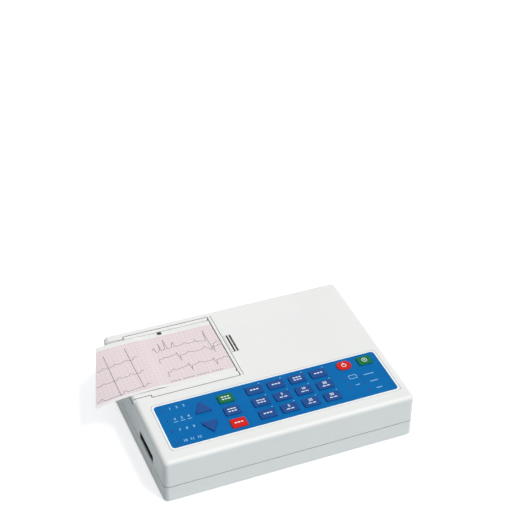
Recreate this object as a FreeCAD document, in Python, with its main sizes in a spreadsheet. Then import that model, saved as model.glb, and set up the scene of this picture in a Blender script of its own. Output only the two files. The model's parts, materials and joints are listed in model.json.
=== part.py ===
import FreeCAD, Part
import math
import os
import re

# Driving sizes in millimetres; x runs right, y back, z up, from the middle of the standing plane
SIZES = {
    # housing
    "body_width": 293.5, "body_depth": 215.0, "front_height": 56.0, "back_height": 69.0,
    "wall": 2.5, "corner_radius": 6.0, "top_round": 5.0,
    "parting_height": 21.4, "parting_gap": 0.9, "lip_height": 2.4, "lip_thickness": 1.1, "lip_end": 14.0,
    "fit_gap": 0.15, "running_gap": 0.05,
    # feet and housing screws
    "foot_height": 2.0, "foot_radius": 6.5, "foot_inset_x": 17.0, "foot_inset_y": 14.0,
    "boss_radius": 3.5, "boss_inset_x": 7.5, "boss_inset_y": 6.3,
    "screw_radius": 1.5, "screw_head_radius": 2.8, "screw_head_height": 2.0, "screw_reach": 12.0,
    # keypad, measured from the left face and the front edge of the sloping deck
    "panel_left": 14.2, "panel_right": 9.9, "panel_front": 15.6, "panel_length": 69.7,
    "panel_corner": 4.0, "panel_gap": 0.45, "layout_width": 269.4,
    "panel_ledge": 2.5, "panel_frame": 3.0, "plate_thickness": 1.7, "foil_thickness": 0.3, "foil_border": 2.2,
    "board_thickness": 1.6, "dome_height": 1.0, "dome_radius": 3.0,
    # keys
    "key_rise": 1.4, "key_travel": 0.8, "key_gap": 0.2, "key_flange": 1.2, "flange_thickness": 1.0,
    "seat_gap": 0.1, "stem_drop": 0.4, "stem_radius": 2.0, "key_edge": 0.6,
    "grid_left": 115.6, "grid_front": 15.7, "grid_pitch_x": 25.75, "grid_pitch_y": 19.45,
    "grid_key_width": 19.6, "grid_key_length": 12.4, "grid_key_corner": 2.0,
    "column_left": 81.1, "column_front": 13.6, "column_pitch": 19.9,
    "column_key_width": 18.0, "column_key_length": 13.0,
    "arrow_left": 51.9, "arrow_up_front": 47.2, "arrow_down_front": 21.2, "arrow_radius": 11.5,
    "arrow_corner": 1.5,
    "off_left": 225.4, "on_left": 251.2, "power_front": 56.4, "power_width": 17.0, "power_length": 13.0,
    "off_corner": 6.0,
    # indicator lamps
    "led_radius": 1.25, "led_rise": 0.15, "led_left": 10.2, "led_front": 9.1, "led_pitch": 16.8,
    "led_pair_left": 218.1, "led_pair_front": 23.4, "led_pair_pitch": 13.4,
    "led_trio_left": 236.0, "led_trio_front": 11.4, "led_trio_pitch": 11.9,
    # paper lid
    "lid_front": 99.2, "lid_back": 10.4, "lid_right": 124.1, "lid_gap": 0.95, "lid_depth": 5.0,
    "lid_floor": 2.0, "lid_rim": 2.0, "neck_length": 21.6, "neck_inset": 3.9,
    "channel_front": 9.4, "channel_back": 4.4, "channel_depth": 1.5, "paper_side_gap": 0.8,
    "floor_setback": 1.5, "mouth_side": 2.0, "hinge_radius": 4.0, "pin_radius": 1.5, "pin_reach": 6.0,
    "lug_length": 4.0, "lug_width": 7.0, "tear_bar_width": 3.0,
    "tear_line_width": 0.8, "tear_line_depth": 0.6,
    # platen and its drive
    "platen_right": 7.6, "platen_depth": 11.5, "platen_radius": 7.0, "shaft_radius": 2.0,
    "bush_radius": 3.5, "cheek_thickness": 3.0, "cheek_width": 13.0, "cheek_drop": 5.0,
    "gear_module": 0.6, "platen_teeth": 20, "pinion_teeth": 16, "gear_width": 4.2, "gear_gap": 0.5,
    "tooth_tip": 0.5, "tooth_root": 0.6, "tooth_backlash": 0.12,
    "motor_radius": 10.0, "motor_length": 15.0, "motor_shaft_radius": 1.0, "motor_shaft_grip": 8.0,
    # print head
    "head_gap": 0.9, "head_thickness": 4.0, "head_height": 9.0, "spring_room": 3.1, "leaf_thickness": 0.4,
    "leaf_length": 60.0,
    # paper tray and paper
    "tray_wall": 1.5, "tray_left": 11.5, "tray_depth": 28.5, "tray_side_gap": 1.1, "tray_end_depth": 8.8,
    "pad_length": 90.0, "pad_thickness": 12.0, "pad_side_gap": 1.7, "paper_thickness": 0.25,
    "paper_lift": 0.05, "crest_left": 33.0, "crest_rise": 1.1, "ramp_length": 14.0,
    "paper_overhang": 40.0, "paper_overhang_back": 12.8, "paper_droop": 5.6,
    # latch
    "latch_left": 4.8, "latch_room": 8.8, "latch_offset": 0.3, "latch_length": 29.4, "latch_rise": 0.3,
    "latch_rib": 2.6, "latch_groove": 1.9, "latch_thin_rib": 1.4, "latch_plate": 1.8, "latch_lap": 2.1,
    "latch_nose": 2.3, "latch_nose_width": 12.0, "latch_ledge": 1.5,
    # patient socket in the left face
    "socket_front": 59.8, "socket_middle_z": 29.6, "socket_slot_width": 45.0, "socket_slot_height": 11.3,
    "socket_slot_corner": 1.6,
    "socket_setback": 6.5, "socket_width": 40.0, "socket_height": 11.0, "socket_depth": 12.5,
    "socket_mouth_width": 34.0, "socket_mouth_height": 7.6, "socket_mouth_depth": 5.0,
    "contact_radius": 0.5, "contact_pitch": 3.7, "contact_row": 2.8, "contact_length": 4.0,
    # connectors in the back face
    "inlet_right": 40.0, "connector_height": 36.0, "inlet_width": 28.0, "inlet_height": 20.0,
    "inlet_depth": 25.0, "inlet_wall": 2.0, "inlet_mouth_depth": 16.0, "blade_length": 10.5,
    "blade_width": 4.0, "blade_thickness": 2.0, "blade_pitch": 7.0, "blade_offset": 2.0,
    "serial_pitch": 65.0, "serial_width": 31.0, "serial_height": 12.6, "serial_depth": 14.0,
    "serial_nose_width": 17.0, "serial_nose_height": 8.4, "serial_nose_length": 5.0,
    "stud_pitch": 33.0, "stud_radius": 3.0, "stud_neck_radius": 4.0, "stud_length": 8.0,
    "stud_flange_radius": 6.0,
    "stud_flange_length": 3.0,
    # boards and supply inside
    "post_radius": 3.5, "post_height": 8.0, "main_board_left": 15.0, "main_board_right": 95.0,
    "main_board_front": 92.0, "main_board_back": 20.0, "board_post_inset": 8.0,
    "input_board_width": 44.0, "input_board_length": 54.0,
    "door_right": 30.0, "door_width": 55.0, "door_front": 17.0, "door_length": 65.0, "door_gap": 0.3,
    "battery_inset": 3.0, "battery_height": 24.0,
    "supply_right": 15.0, "supply_width": 50.0, "supply_back": 38.0, "supply_length": 52.0,
    "supply_height": 40.0, "coil_inset": 9.0, "coil_overhang": 5.0,
}

# Sizes that follow from the ones above, as formulas for the sheet
FOLLOWING = {
    "panel_width": "body_width - panel_left - panel_right",
    "lid_length": "body_depth - lid_front - lid_back",
    "paper_width": "lid_length - channel_front - channel_back - 2*paper_side_gap",
    "latch_middle": "lid_front + lid_length/2 + latch_offset",
    "socket_middle_y": "socket_front - body_depth/2",
    "inlet_middle_x": "body_width/2 - inlet_right",
    "serial_middle_x": "inlet_middle_x - serial_pitch",
    "stud_middle_x": "inlet_middle_x - stud_pitch",
    "main_board_width": "body_width - main_board_left - main_board_right",
    "main_board_length": "body_depth - main_board_front - main_board_back",
    "door_left": "body_width/2 - door_right - door_width",
    "supply_left": "body_width/2 - supply_right - supply_width",
    "supply_front": "body_depth - supply_back - supply_length",
}

doc = FreeCAD.newDocument("chart_recorder")
sheet = doc.addObject("Spreadsheet::Sheet", "sizes")
cells = {**SIZES, **{alias: f"={formula}" for alias, formula in FOLLOWING.items()}}
for row, (alias, value) in enumerate(cells.items(), 1):
    sheet.set(f"A{row}", alias)
    sheet.setAlias(f"B{row}", alias)
    sheet.set(f"B{row}", str(value))
doc.recompute()
SIZES.update({alias: float(sheet.get(alias)) for alias in FOLLOWING})

nodes = {}
TURN = {
    "x": FreeCAD.Rotation(FreeCAD.Vector(0, 1, 0), 90),
    "y": FreeCAD.Rotation(FreeCAD.Vector(1, 0, 0), -90),
    "z": FreeCAD.Rotation(),
}


def bind(obj, prop, text):
    # ties one property to the sheet, with every size name in the text read from its cell
    text = str(text)
    obj.setExpression(prop, re.sub(r"[a-z]\w*", lambda word: cell_name(word.group()), text))


def cell_name(word):
    return f"sizes.{word}" if word in SIZES else word


def bind_base(obj, places):
    for side, text in zip("xyz", places):
        bind(obj, f"Placement.Base.{side}", text)


def box(name, x, y, z):
    obj = doc.addObject("Part::Box", name)
    for prop, (low, high) in zip(("Length", "Width", "Height"), (x, y, z)):
        bind(obj, prop, f"({high}) - ({low})")
    bind_base(obj, (x[0], y[0], z[0]))
    return obj


def rod(name, radius, axis, span, a, b):
    # a cylinder along one axis; a and b are its places along the other two, in order
    obj = doc.addObject("Part::Cylinder", name)
    obj.Placement = FreeCAD.Placement(FreeCAD.Vector(), TURN[axis])
    bind(obj, "Radius", radius)
    bind(obj, "Height", f"({span[1]}) - ({span[0]})")
    bind_base(obj, {"x": (span[0], a, b), "y": (a, span[0], b), "z": (a, b, span[0])}[axis])
    return obj


def fuse(name, *parts):
    obj = doc.addObject("Part::MultiFuse", name)
    obj.Shapes = list(parts)
    return obj


def group(name, parts):
    obj = doc.addObject("Part::Compound", name)
    obj.Links = list(parts)
    return obj


def cut(name, base, *tools):
    obj = doc.addObject("Part::Cut", name)
    obj.Base = base
    obj.Tool = tools[0] if len(tools) == 1 else fuse(f"{name}_tools", *tools)
    return obj


def rounded(name, base, radius, pick):
    # rounds the edges of the base that pick accepts
    base.recompute(True)
    obj = doc.addObject("Part::Fillet", name)
    obj.Base = base
    obj.Edges = [(i, radius, radius) for i, edge in enumerate(base.Shape.Edges, 1) if pick(edge)]
    return obj


def is_upright(edge):
    ends = [vertex.Point for vertex in edge.Vertexes]
    return len(ends) == 2 and (ends[1] - ends[0]).cross(FreeCAD.Vector(0, 0, 1)).Length < 1e-6


def is_across(edge):
    ends = [vertex.Point for vertex in edge.Vertexes]
    return len(ends) == 2 and (ends[1] - ends[0]).cross(FreeCAD.Vector(1, 0, 0)).Length < 1e-6


def at_top(edge):
    # edges of the flat upper face of a small block that stands along z
    return edge.BoundBox.ZLength < 1e-6


def on_deck(obj):
    # stands a finished piece, drawn flat, on the sloping deck: y runs up the slope from the front edge
    if obj.TypeId in ("Part::Box", "Part::Cylinder"):
        obj = group(f"{obj.Name}_on_deck", [obj])
    obj.Placement = FreeCAD.Placement(FreeCAD.Vector(), FreeCAD.Rotation(FreeCAD.Vector(1, 0, 0), 1))
    bind(obj, "Placement.Rotation.Angle", "atan((back_height - front_height) / body_depth)")
    bind_base(obj, (0, "-body_depth/2", "front_height"))
    return obj


def node(label, obj):
    obj.Label = label
    nodes[label] = obj
    return obj


def deck_placement(x=0.0, y=0.0, z=0.0, turn=None):
    # the same placement as numbers, for the shapes that are drawn point by point
    slope = math.degrees(math.atan((SIZES["back_height"] - SIZES["front_height"]) / SIZES["body_depth"]))
    base = FreeCAD.Vector(0, -SIZES["body_depth"] / 2, SIZES["front_height"])
    deck = FreeCAD.Placement(base, FreeCAD.Rotation(FreeCAD.Vector(1, 0, 0), slope))
    return deck.multiply(FreeCAD.Placement(FreeCAD.Vector(x, y, z), turn or FreeCAD.Rotation()))


# Places that several pieces share, as text for the sheet
LEFT, RIGHT = "(-body_width/2)", "(body_width/2)"
FRONT, BACK = "(-body_depth/2)", "(body_depth/2)"
SEAM_LOW, SEAM_HIGH = "(parting_height - parting_gap/2)", "(parting_height + parting_gap/2)"
INSIDE_FLOOR = "(foot_height + wall)"
FAR = "(body_width + body_depth)"
PANEL_X = (f"({LEFT} + panel_left)", f"({LEFT} + panel_left + panel_width)")
PANEL_Y = ("panel_front", "(panel_front + panel_length)")
PLATE_BOTTOM = "(-foil_thickness - plate_thickness)"
FLANGE_TOP = f"({PLATE_BOTTOM} - seat_gap)"
STEM_BOTTOM = f"({FLANGE_TOP} - flange_thickness - stem_drop)"
DOME_TOP = f"({STEM_BOTTOM} - key_travel - seat_gap)"
BOARD_TOP = f"({DOME_TOP} - dome_height)"
LID_RIGHT = f"({LEFT} + lid_right)"
LID_Y = ("lid_front", "(lid_front + lid_length)")
NECK_X = f"({LEFT} + neck_length)"
NECK_Y = (f"({LID_Y[0]} + neck_inset)", f"({LID_Y[1]} - neck_inset)")
CHANNEL_Y = ("(lid_front + channel_front)",
             "(lid_front + channel_front + paper_width + 2*paper_side_gap)")
HINGE_X, HINGE_Z = f"({LEFT} + hinge_radius)", "(-hinge_radius)"
PLATEN_X, PLATEN_Z = f"({LID_RIGHT} - platen_right)", "(-platen_depth)"
PINION_Z = f"({PLATEN_Z} - gear_module*(platen_teeth + pinion_teeth)/2)"
GEAR_Y = (f"({CHANNEL_Y[0]} - cheek_thickness - gear_gap - gear_width)",
          f"({CHANNEL_Y[0]} - cheek_thickness - gear_gap)")
OPENING_Y = (f"({LID_Y[0]} - lid_gap)", f"({LID_Y[1]} + lid_gap)")
OPENING_RIGHT = f"({LID_RIGHT} + lid_gap)"
TRAY_Y = (f"({OPENING_Y[0]} - tray_side_gap)", f"({OPENING_Y[1]} + tray_side_gap)")
HEAD_X = (f"({PLATEN_X} + platen_radius + head_gap)",
          f"({PLATEN_X} + platen_radius + head_gap + head_thickness)")
TRAY_X = (f"({LEFT} + tray_left + tray_wall)", f"({HEAD_X[1]} + spring_room)")
SLOT_X = (f"({OPENING_RIGHT} + latch_left)", f"({OPENING_RIGHT} + latch_left + latch_room)")
SLOT_Y = ("(latch_middle - latch_length/2)", "(latch_middle + latch_length/2)")
LATCH_TOP = "(-wall - seat_gap)"
CORNERS = [(side, end) for side in (-1, 1) for end in (-1, 1)]


def panel_x(place):
    # a place measured from the panel's left edge, spread with the panel's width
    return f"({PANEL_X[0]} + ({place})*panel_width/layout_width)"


def corner_places(inset_x, inset_y):
    return [(f"{side}*(body_width/2 - {inset_x})", f"{end}*(body_depth/2 - {inset_y})")
            for side, end in CORNERS]


BOSSES = corner_places("boss_inset_x", "boss_inset_y")


def upright_block(name, inset, z, radius):
    # a block of the housing's outline, drawn in by the inset, with round upright corners
    block = box(f"{name}_block", (f"{LEFT} + {inset}", f"{RIGHT} - ({inset})"),
                (f"{FRONT} + {inset}", f"{BACK} - ({inset})"), z)
    return rounded(name, block, radius, is_upright)


def lip_bars(name, outer, inner, z):
    # four straight bars along the walls between two insets, clear of the corners
    across = (f"{LEFT} + lip_end", f"{RIGHT} - lip_end")
    along = (f"{FRONT} + lip_end", f"{BACK} - lip_end")
    return [box(f"{name}_left", (f"{LEFT} + {outer}", f"{LEFT} + {inner}"), along, z),
            box(f"{name}_right", (f"{RIGHT} - ({inner})", f"{RIGHT} - ({outer})"), along, z),
            box(f"{name}_front", across, (f"{FRONT} + {outer}", f"{FRONT} + {inner}"), z),
            box(f"{name}_back", across, (f"{BACK} - ({inner})", f"{BACK} - ({outer})"), z)]


def bottom_shell():
    corner = SIZES["corner_radius"]
    outside = upright_block("bottom_outside", "0", ("foot_height", SEAM_LOW), corner)
    inside = upright_block("bottom_inside", "wall", (INSIDE_FLOOR, f"{SEAM_LOW} + 1"), corner - SIZES["wall"])
    tub = cut("bottom_tub", outside, inside)
    lip_out, lip_in = "wall + fit_gap", "wall + fit_gap + lip_thickness"
    lips = lip_bars("bottom_band", "wall/2", lip_in, (f"{SEAM_LOW} - lip_height", SEAM_LOW))
    lip_z = (f"{SEAM_LOW} - lip_height/2", f"{SEAM_LOW} + lip_height")
    lips += lip_bars("bottom_lip", lip_out, lip_in, lip_z)
    foot = "foot_height + wall/2"
    posts = [rod(f"screw_post_{i}", "boss_radius", "z", (foot, SEAM_LOW), x, y)
             for i, (x, y) in enumerate(BOSSES)]
    posts += [rod(f"board_post_{i}", "post_radius", "z", (foot, f"{INSIDE_FLOOR} + post_height"), x, y)
              for i, (x, y) in enumerate(board_posts())]
    posts += [rod(f"input_post_{i}", "post_radius", "z", (foot, INPUT_BOARD_Z[0]), x, y)
              for i, (x, y) in enumerate(input_posts())]
    body = fuse("bottom_body", tub, *lips, *posts)
    holes = [rod(f"screw_hole_{i}", "screw_radius + fit_gap", "z", ("0", f"{SEAM_HIGH}"), x, y)
             for i, (x, y) in enumerate(BOSSES)]
    sink_z = ("0", "foot_height + screw_head_height + fit_gap")
    holes += [rod(f"screw_sink_{i}", "screw_head_radius + fit_gap", "z", sink_z, x, y)
              for i, (x, y) in enumerate(BOSSES)]
    door = box("door_opening", ("door_left - door_gap", "door_left + door_width + door_gap"),
               (f"{FRONT} + door_front - door_gap", f"{FRONT} + door_front + door_length + door_gap"),
               ("0", f"{INSIDE_FLOOR} + 1"))
    node("bottom_shell", cut("bottom_shell_cut", body, door, *holes))


def rubber_feet():
    feet = [rod(f"foot_{i}", "foot_radius", "z", ("0", "foot_height"), x, y)
            for i, (x, y) in enumerate(corner_places("foot_inset_x", "foot_inset_y"))]
    node("rubber_feet", group("feet_group", feet))


def housing_screws():
    screws = []
    for i, (x, y) in enumerate(BOSSES):
        head = rod(f"screw_head_{i}", "screw_head_radius", "z",
                   ("foot_height + fit_gap", "foot_height + fit_gap + screw_head_height"), x, y)
        shank_z = ("foot_height + fit_gap", f"{SEAM_HIGH} + screw_reach")
        shank = rod(f"screw_shank_{i}", "screw_radius", "z", shank_z, x, y)
        screws.append(fuse(f"screw_{i}", head, shank))
    node("housing_screws", group("screw_group", screws))


def top_cover():
    corner, rim = SIZES["corner_radius"], SIZES["top_round"]
    tall = upright_block("cover_block", "0", (SEAM_HIGH, "back_height + wall"), corner)
    above = on_deck(box("cover_above", (f"-{FAR}", FAR), (f"-{FAR}", FAR), ("0", FAR)))
    solid = cut("cover_solid", tall, above)
    deck = deck_placement().inverse()
    edge_is_high = lambda edge: max(abs(deck.multVec(p.Point).z) for p in edge.Vertexes) < 1e-4
    outside = rounded("cover_outside", solid, rim, edge_is_high)
    room = upright_block("cover_room_block", "wall", (f"{SEAM_LOW} - 1", "back_height + wall"),
                         corner - SIZES["wall"])
    ceiling = on_deck(box("cover_ceiling", (f"-{FAR}", FAR), (f"-{FAR}", FAR), ("-wall", FAR)))
    shell = cut("cover_shell", outside, cut("cover_room", room, ceiling))
    bosses = [rod(f"cover_boss_{i}", "boss_radius", "z", (SEAM_HIGH, "back_height"), x, y)
              for i, (x, y) in enumerate(BOSSES)]
    stumps = cut("cover_stumps", fuse("cover_bosses", *bosses),
                 on_deck(box("boss_above", (f"-{FAR}", FAR), (f"-{FAR}", FAR), ("-wall/2", FAR))))
    frame = box("panel_frame_block", (f"{PANEL_X[0]} - panel_frame", f"{PANEL_X[1]} + panel_frame"),
                (f"{PANEL_Y[0]} - panel_frame", f"{PANEL_Y[1]} + panel_frame"), (BOARD_TOP, "-wall/2"))
    lugs = [box(f"hinge_lug_{i}", (f"{HINGE_X} - lug_width/2", f"{HINGE_X} + lug_width/2"), y,
                ("-2*hinge_radius", "-wall/2")) for i, y in enumerate(lug_spans())]
    ledges = []
    for i, (low, high) in enumerate(latch_ledges()):
        x = (f"{SLOT_X[0]} - latch_lap", f"{SLOT_X[1]} + latch_lap")
        end = f"{low} - latch_ledge" if i == 0 else f"{high} + latch_ledge"
        post = (end, low) if i == 0 else (high, end)
        bottom = f"{LATCH_TOP} - latch_plate - seat_gap - latch_ledge"
        shelf = (end, f"{high} + latch_ledge") if i == 0 else (f"{low} - latch_ledge", end)
        ledges.append(box(f"latch_post_{i}", x, post, (bottom, "-wall/2")))
        ledges.append(box(f"latch_shelf_{i}", x, shelf, (bottom, f"{bottom} + latch_ledge")))
    added = on_deck(fuse("cover_added", frame, *lugs, *ledges))
    body = fuse("cover_body", shell, stumps, added)
    pocket = panel_block("panel_pocket", "-panel_gap", (PLATE_BOTTOM, "2*top_round"))
    window = panel_block("panel_window", "panel_ledge", (f"{BOARD_TOP} - 1", "0"))
    opening = box("lid_opening", (f"{NECK_X} - lid_gap", OPENING_RIGHT), OPENING_Y,
                  ("-lid_depth - wall", "wall"))
    neck = box("neck_opening", (f"{LEFT} - wall", NECK_X),
               (f"{NECK_Y[0]} - lid_gap", f"{NECK_Y[1]} + lid_gap"), ("-2*hinge_radius - lid_gap", "wall"))
    pins = [rod(f"lug_hole_{i}", "pin_radius + running_gap", "y", y, HINGE_X, HINGE_Z)
            for i, y in enumerate(lug_spans())]
    tear_x = (f"{OPENING_RIGHT} + tear_bar_width", f"{OPENING_RIGHT} + tear_bar_width + tear_line_width")
    tear_line = box("tear_line", tear_x, OPENING_Y, ("-tear_line_depth", "wall"))
    slot = box("latch_slot", SLOT_X, SLOT_Y, ("-2*wall + wall/2", "wall"))
    deck_cuts = on_deck(fuse("cover_deck_cuts", pocket, window, opening, neck, tear_line, slot, *pins))
    boss_z = (SEAM_LOW, f"{SEAM_HIGH} + screw_reach + wall")
    holes = [rod(f"boss_hole_{i}", "screw_radius + running_gap", "z", boss_z, x, y)
             for i, (x, y) in enumerate(BOSSES)]
    node("top_cover", cut("top_cover_cut", body, deck_cuts, *holes, socket_slot(), *back_holes()))


def lug_spans():
    return [(f"{NECK_Y[0]} - lid_gap - lug_length", f"{NECK_Y[0]} - lid_gap"),
            (f"{NECK_Y[1]} + lid_gap", f"{NECK_Y[1]} + lid_gap + lug_length")]


def latch_ledges():
    # y spans of the latch plate's two ends, past the slot
    return [(f"{SLOT_Y[0]} - latch_lap - fit_gap", SLOT_Y[0]),
            (SLOT_Y[1], f"{SLOT_Y[1]} + latch_lap + fit_gap")]


def panel_block(name, inset, z):
    block = box(f"{name}_block", (f"{PANEL_X[0]} + ({inset})", f"{PANEL_X[1]} - ({inset})"),
                (f"{PANEL_Y[0]} + ({inset})", f"{PANEL_Y[1]} - ({inset})"), z)
    return rounded(name, block, SIZES["panel_corner"], is_upright)


def socket_slot():
    # the slot through the left wall
    block = box("slot_block", (f"{LEFT} - wall", f"{LEFT} + 2*wall"),
                ("socket_middle_y - socket_slot_width/2", "socket_middle_y + socket_slot_width/2"),
                ("socket_middle_z - socket_slot_height/2", "socket_middle_z + socket_slot_height/2"))
    return rounded("socket_slot", block, SIZES["socket_slot_corner"], is_across)


def middle_box(name, x, width, y, z, height, grow="0"):
    return box(name, (f"{x} - {width}/2 - {grow}", f"{x} + {width}/2 + {grow}"), y,
               (f"{z} - {height}/2 - {grow}", f"{z} + {height}/2 + {grow}"))


def back_holes():
    y = (f"{BACK} - 2*wall", f"{BACK} + wall")
    inlet = middle_box("inlet_hole", "inlet_middle_x", "inlet_width", y, "connector_height", "inlet_height",
                       "fit_gap")
    serial = middle_box("serial_hole", "serial_middle_x", "serial_width", y, "connector_height",
                        "serial_height", "fit_gap")
    stud = rod("stud_hole", "stud_neck_radius + running_gap", "y", y, "stud_middle_x", "connector_height")
    return [inlet, serial, stud]


# Every key: its outline, its centre from the panel's left and front edges, its size and corner
def key_table():
    table = {
        "key_up": ("up", "arrow_left", "arrow_up_front", "arrow_radius", "", "arrow_corner"),
        "key_down": ("down", "arrow_left", "arrow_down_front", "arrow_radius", "", "arrow_corner"),
    }
    for i, label in enumerate(("key_stop", "key_manual", "key_start")):
        table[label] = ("block", "column_left", f"column_front + {i}*column_pitch",
                        "column_key_width", "column_key_length", "grid_key_corner")
    for row_index in range(3):
        for column in range(4):
            table[f"key_{3 * column + row_index + 1}"] = (
                "block", f"grid_left + {column}*grid_pitch_x", f"grid_front + {row_index}*grid_pitch_y",
                "grid_key_width", "grid_key_length", "grid_key_corner")
    table["key_off"] = ("block", "off_left", "power_front", "power_width", "power_length", "off_corner")
    table["key_on"] = ("block", "on_left", "power_front", "power_width", "power_length", "grid_key_corner")
    return table


KEYS = key_table()


def key_block(name, key, z, grow):
    # the key's outline between two heights, grown on every side
    outline, x, y, width, length, corner = KEYS[key]
    x, y = panel_x(x), f"({PANEL_Y[0]} + {y})"
    if outline == "block":
        block = box(f"{name}_block", (f"{x} - {width}/2 - {grow}", f"{x} + {width}/2 + {grow}"),
                    (f"{y} - {length}/2 - {grow}", f"{y} + {length}/2 + {grow}"), z)
    else:
        block = doc.addObject("Part::Prism", f"{name}_block")
        block.Polygon = 3
        turn = 90 if outline == "up" else -90
        block.Placement = FreeCAD.Placement(FreeCAD.Vector(), FreeCAD.Rotation(FreeCAD.Vector(0, 0, 1), turn))
        bind(block, "Circumradius", f"{width} + 2*{grow}")
        bind(block, "Height", f"({z[1]}) - ({z[0]})")
        bind_base(block, (x, y, z[0]))
    return rounded(name, block, SIZES[corner], is_upright)


def keys():
    for key, (outline, x, y, width, length, corner) in KEYS.items():
        cap = key_block(f"{key}_cap", key, (FLANGE_TOP, "key_rise"), "0")
        cap.recompute(True)
        top = cap.Shape.BoundBox.ZMax
        is_rim = lambda edge: at_top(edge) and abs(edge.BoundBox.ZMax - top) < 1e-6
        soft = rounded(f"{key}_soft", cap, SIZES["key_edge"], is_rim)
        flange_z = (f"{FLANGE_TOP} - flange_thickness", FLANGE_TOP)
        flange = key_block(f"{key}_flange", key, flange_z, "key_flange")
        stem = rod(f"{key}_stem", "stem_radius", "z", (STEM_BOTTOM, f"{FLANGE_TOP} - flange_thickness"),
                   panel_x(x), f"{PANEL_Y[0]} + {y}")
        node(key, on_deck(fuse(f"{key}_body", soft, flange, stem)))


def led_places():
    places = [("led_left", f"led_front + {i}*led_pitch") for i in range(4)]
    places += [("led_pair_left", f"led_pair_front + {i}*led_pair_pitch") for i in range(2)]
    places += [("led_trio_left", f"led_trio_front + {i}*led_trio_pitch") for i in range(3)]
    return [(panel_x(x), f"{PANEL_Y[0]} + {y}") for x, y in places]


def keypad():
    for sheet_name, z in (("plate", (PLATE_BOTTOM, "-foil_thickness")), ("foil", ("-foil_thickness", "0"))):
        blank = panel_block(f"{sheet_name}_blank", "0" if sheet_name == "plate" else "foil_border", z)
        reach = (f"{z[0]} - 1", f"{z[1]} + 1")
        holes = [key_block(f"{sheet_name}_{key}", key, reach, "key_gap") for key in KEYS]
        holes += [rod(f"{sheet_name}_led_{i}", "led_radius + fit_gap", "z", reach, x, y)
                  for i, (x, y) in enumerate(led_places())]
        if sheet_name == "plate":
            # the white carrier stands up round the foil as a border
            border = panel_block("border_outside", "0", ("-foil_thickness", "0"))
            inside = panel_block("border_inside", "foil_border - fit_gap", ("-foil_thickness", "1"))
            blank = fuse("plate_with_border", blank, cut("plate_border", border, inside))
        label = "keypad_plate" if sheet_name == "plate" else "keypad_overlay"
        node(label, on_deck(cut(f"{label}_cut", blank, *holes)))
    board = box("keypad_board_box", (f"{PANEL_X[0]} - panel_frame/2", f"{PANEL_X[1]} + panel_frame/2"),
                (f"{PANEL_Y[0]} - panel_frame/2", f"{PANEL_Y[1]} + panel_frame/2"),
                (f"{BOARD_TOP} - board_thickness", BOARD_TOP))
    node("keypad_board", on_deck(board))
    domes = [rod(f"dome_{key}", "dome_radius", "z", (BOARD_TOP, DOME_TOP), panel_x(KEYS[key][1]),
                 f"{PANEL_Y[0]} + {KEYS[key][2]}") for key in KEYS]
    node("switch_domes", on_deck(group("dome_group", domes)))
    lamps = [rod(f"led_{i}", "led_radius", "z", (BOARD_TOP, "led_rise"), x, y)
             for i, (x, y) in enumerate(led_places())]
    node("indicator_leds", on_deck(group("led_group", lamps)))


def paper_lid():
    block = box("lid_block", (NECK_X, LID_RIGHT), LID_Y, ("-lid_depth", "0"))
    hollow = box("lid_hollow", (f"{NECK_X} + lid_rim", f"{LID_RIGHT} - lid_rim"),
                 (f"{LID_Y[0]} + lid_rim", f"{LID_Y[1]} - lid_rim"),
                 ("-lid_depth - 1", "-channel_depth - lid_floor"))
    neck = box("lid_neck", (HINGE_X, f"{NECK_X} + lid_rim"), NECK_Y, ("-lid_depth", "0"))
    nose = rod("lid_nose", "hinge_radius", "y", NECK_Y, HINGE_X, HINGE_Z)
    cheeks = [box(f"lid_cheek_{i}", (f"{PLATEN_X} - cheek_width/2", f"{PLATEN_X} + cheek_width/2"), y,
                  (f"{PLATEN_Z} - cheek_drop", "-channel_depth - lid_floor/2"))
              for i, y in enumerate(cheek_spans())]
    body = fuse("lid_body", cut("lid_shell", block, hollow), neck, nose, *cheeks)
    channel = box("lid_channel", (f"{LEFT} - 1", f"{LID_RIGHT} + 1"), CHANNEL_Y, ("-channel_depth", "1"))
    mouth = box("lid_mouth", (f"{LID_RIGHT} - floor_setback", f"{LID_RIGHT} + 1"),
                (f"{CHANNEL_Y[0]} - mouth_side", f"{CHANNEL_Y[1]} + mouth_side"), ("-lid_depth - 1", "1"))
    bores = [rod(f"bush_bore_{i}", "bush_radius + running_gap", "y", y, PLATEN_X, PLATEN_Z)
             for i, y in enumerate(cheek_spans())]
    pin_bores = [rod(f"pin_bore_{i}", "pin_radius + running_gap", "y", y, HINGE_X, HINGE_Z)
                 for i, y in enumerate([(NECK_Y[0], f"{NECK_Y[0]} + pin_reach + fit_gap"),
                                        (f"{NECK_Y[1]} - pin_reach - fit_gap", NECK_Y[1])])]
    node("paper_lid", on_deck(cut("paper_lid_cut", body, channel, mouth, *bores, *pin_bores)))


def cheek_spans():
    return [(f"{CHANNEL_Y[0]} - cheek_thickness", CHANNEL_Y[0]),
            (CHANNEL_Y[1], f"{CHANNEL_Y[1]} + cheek_thickness")]


def hinge_pins():
    spans = [(lug_spans()[0][0], f"{NECK_Y[0]} + pin_reach"), (f"{NECK_Y[1]} - pin_reach", lug_spans()[1][1])]
    pins = [rod(f"hinge_pin_{i}", "pin_radius", "y", span, HINGE_X, HINGE_Z) for i, span in enumerate(spans)]
    node("hinge_pins", on_deck(group("pin_group", pins)))


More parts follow.
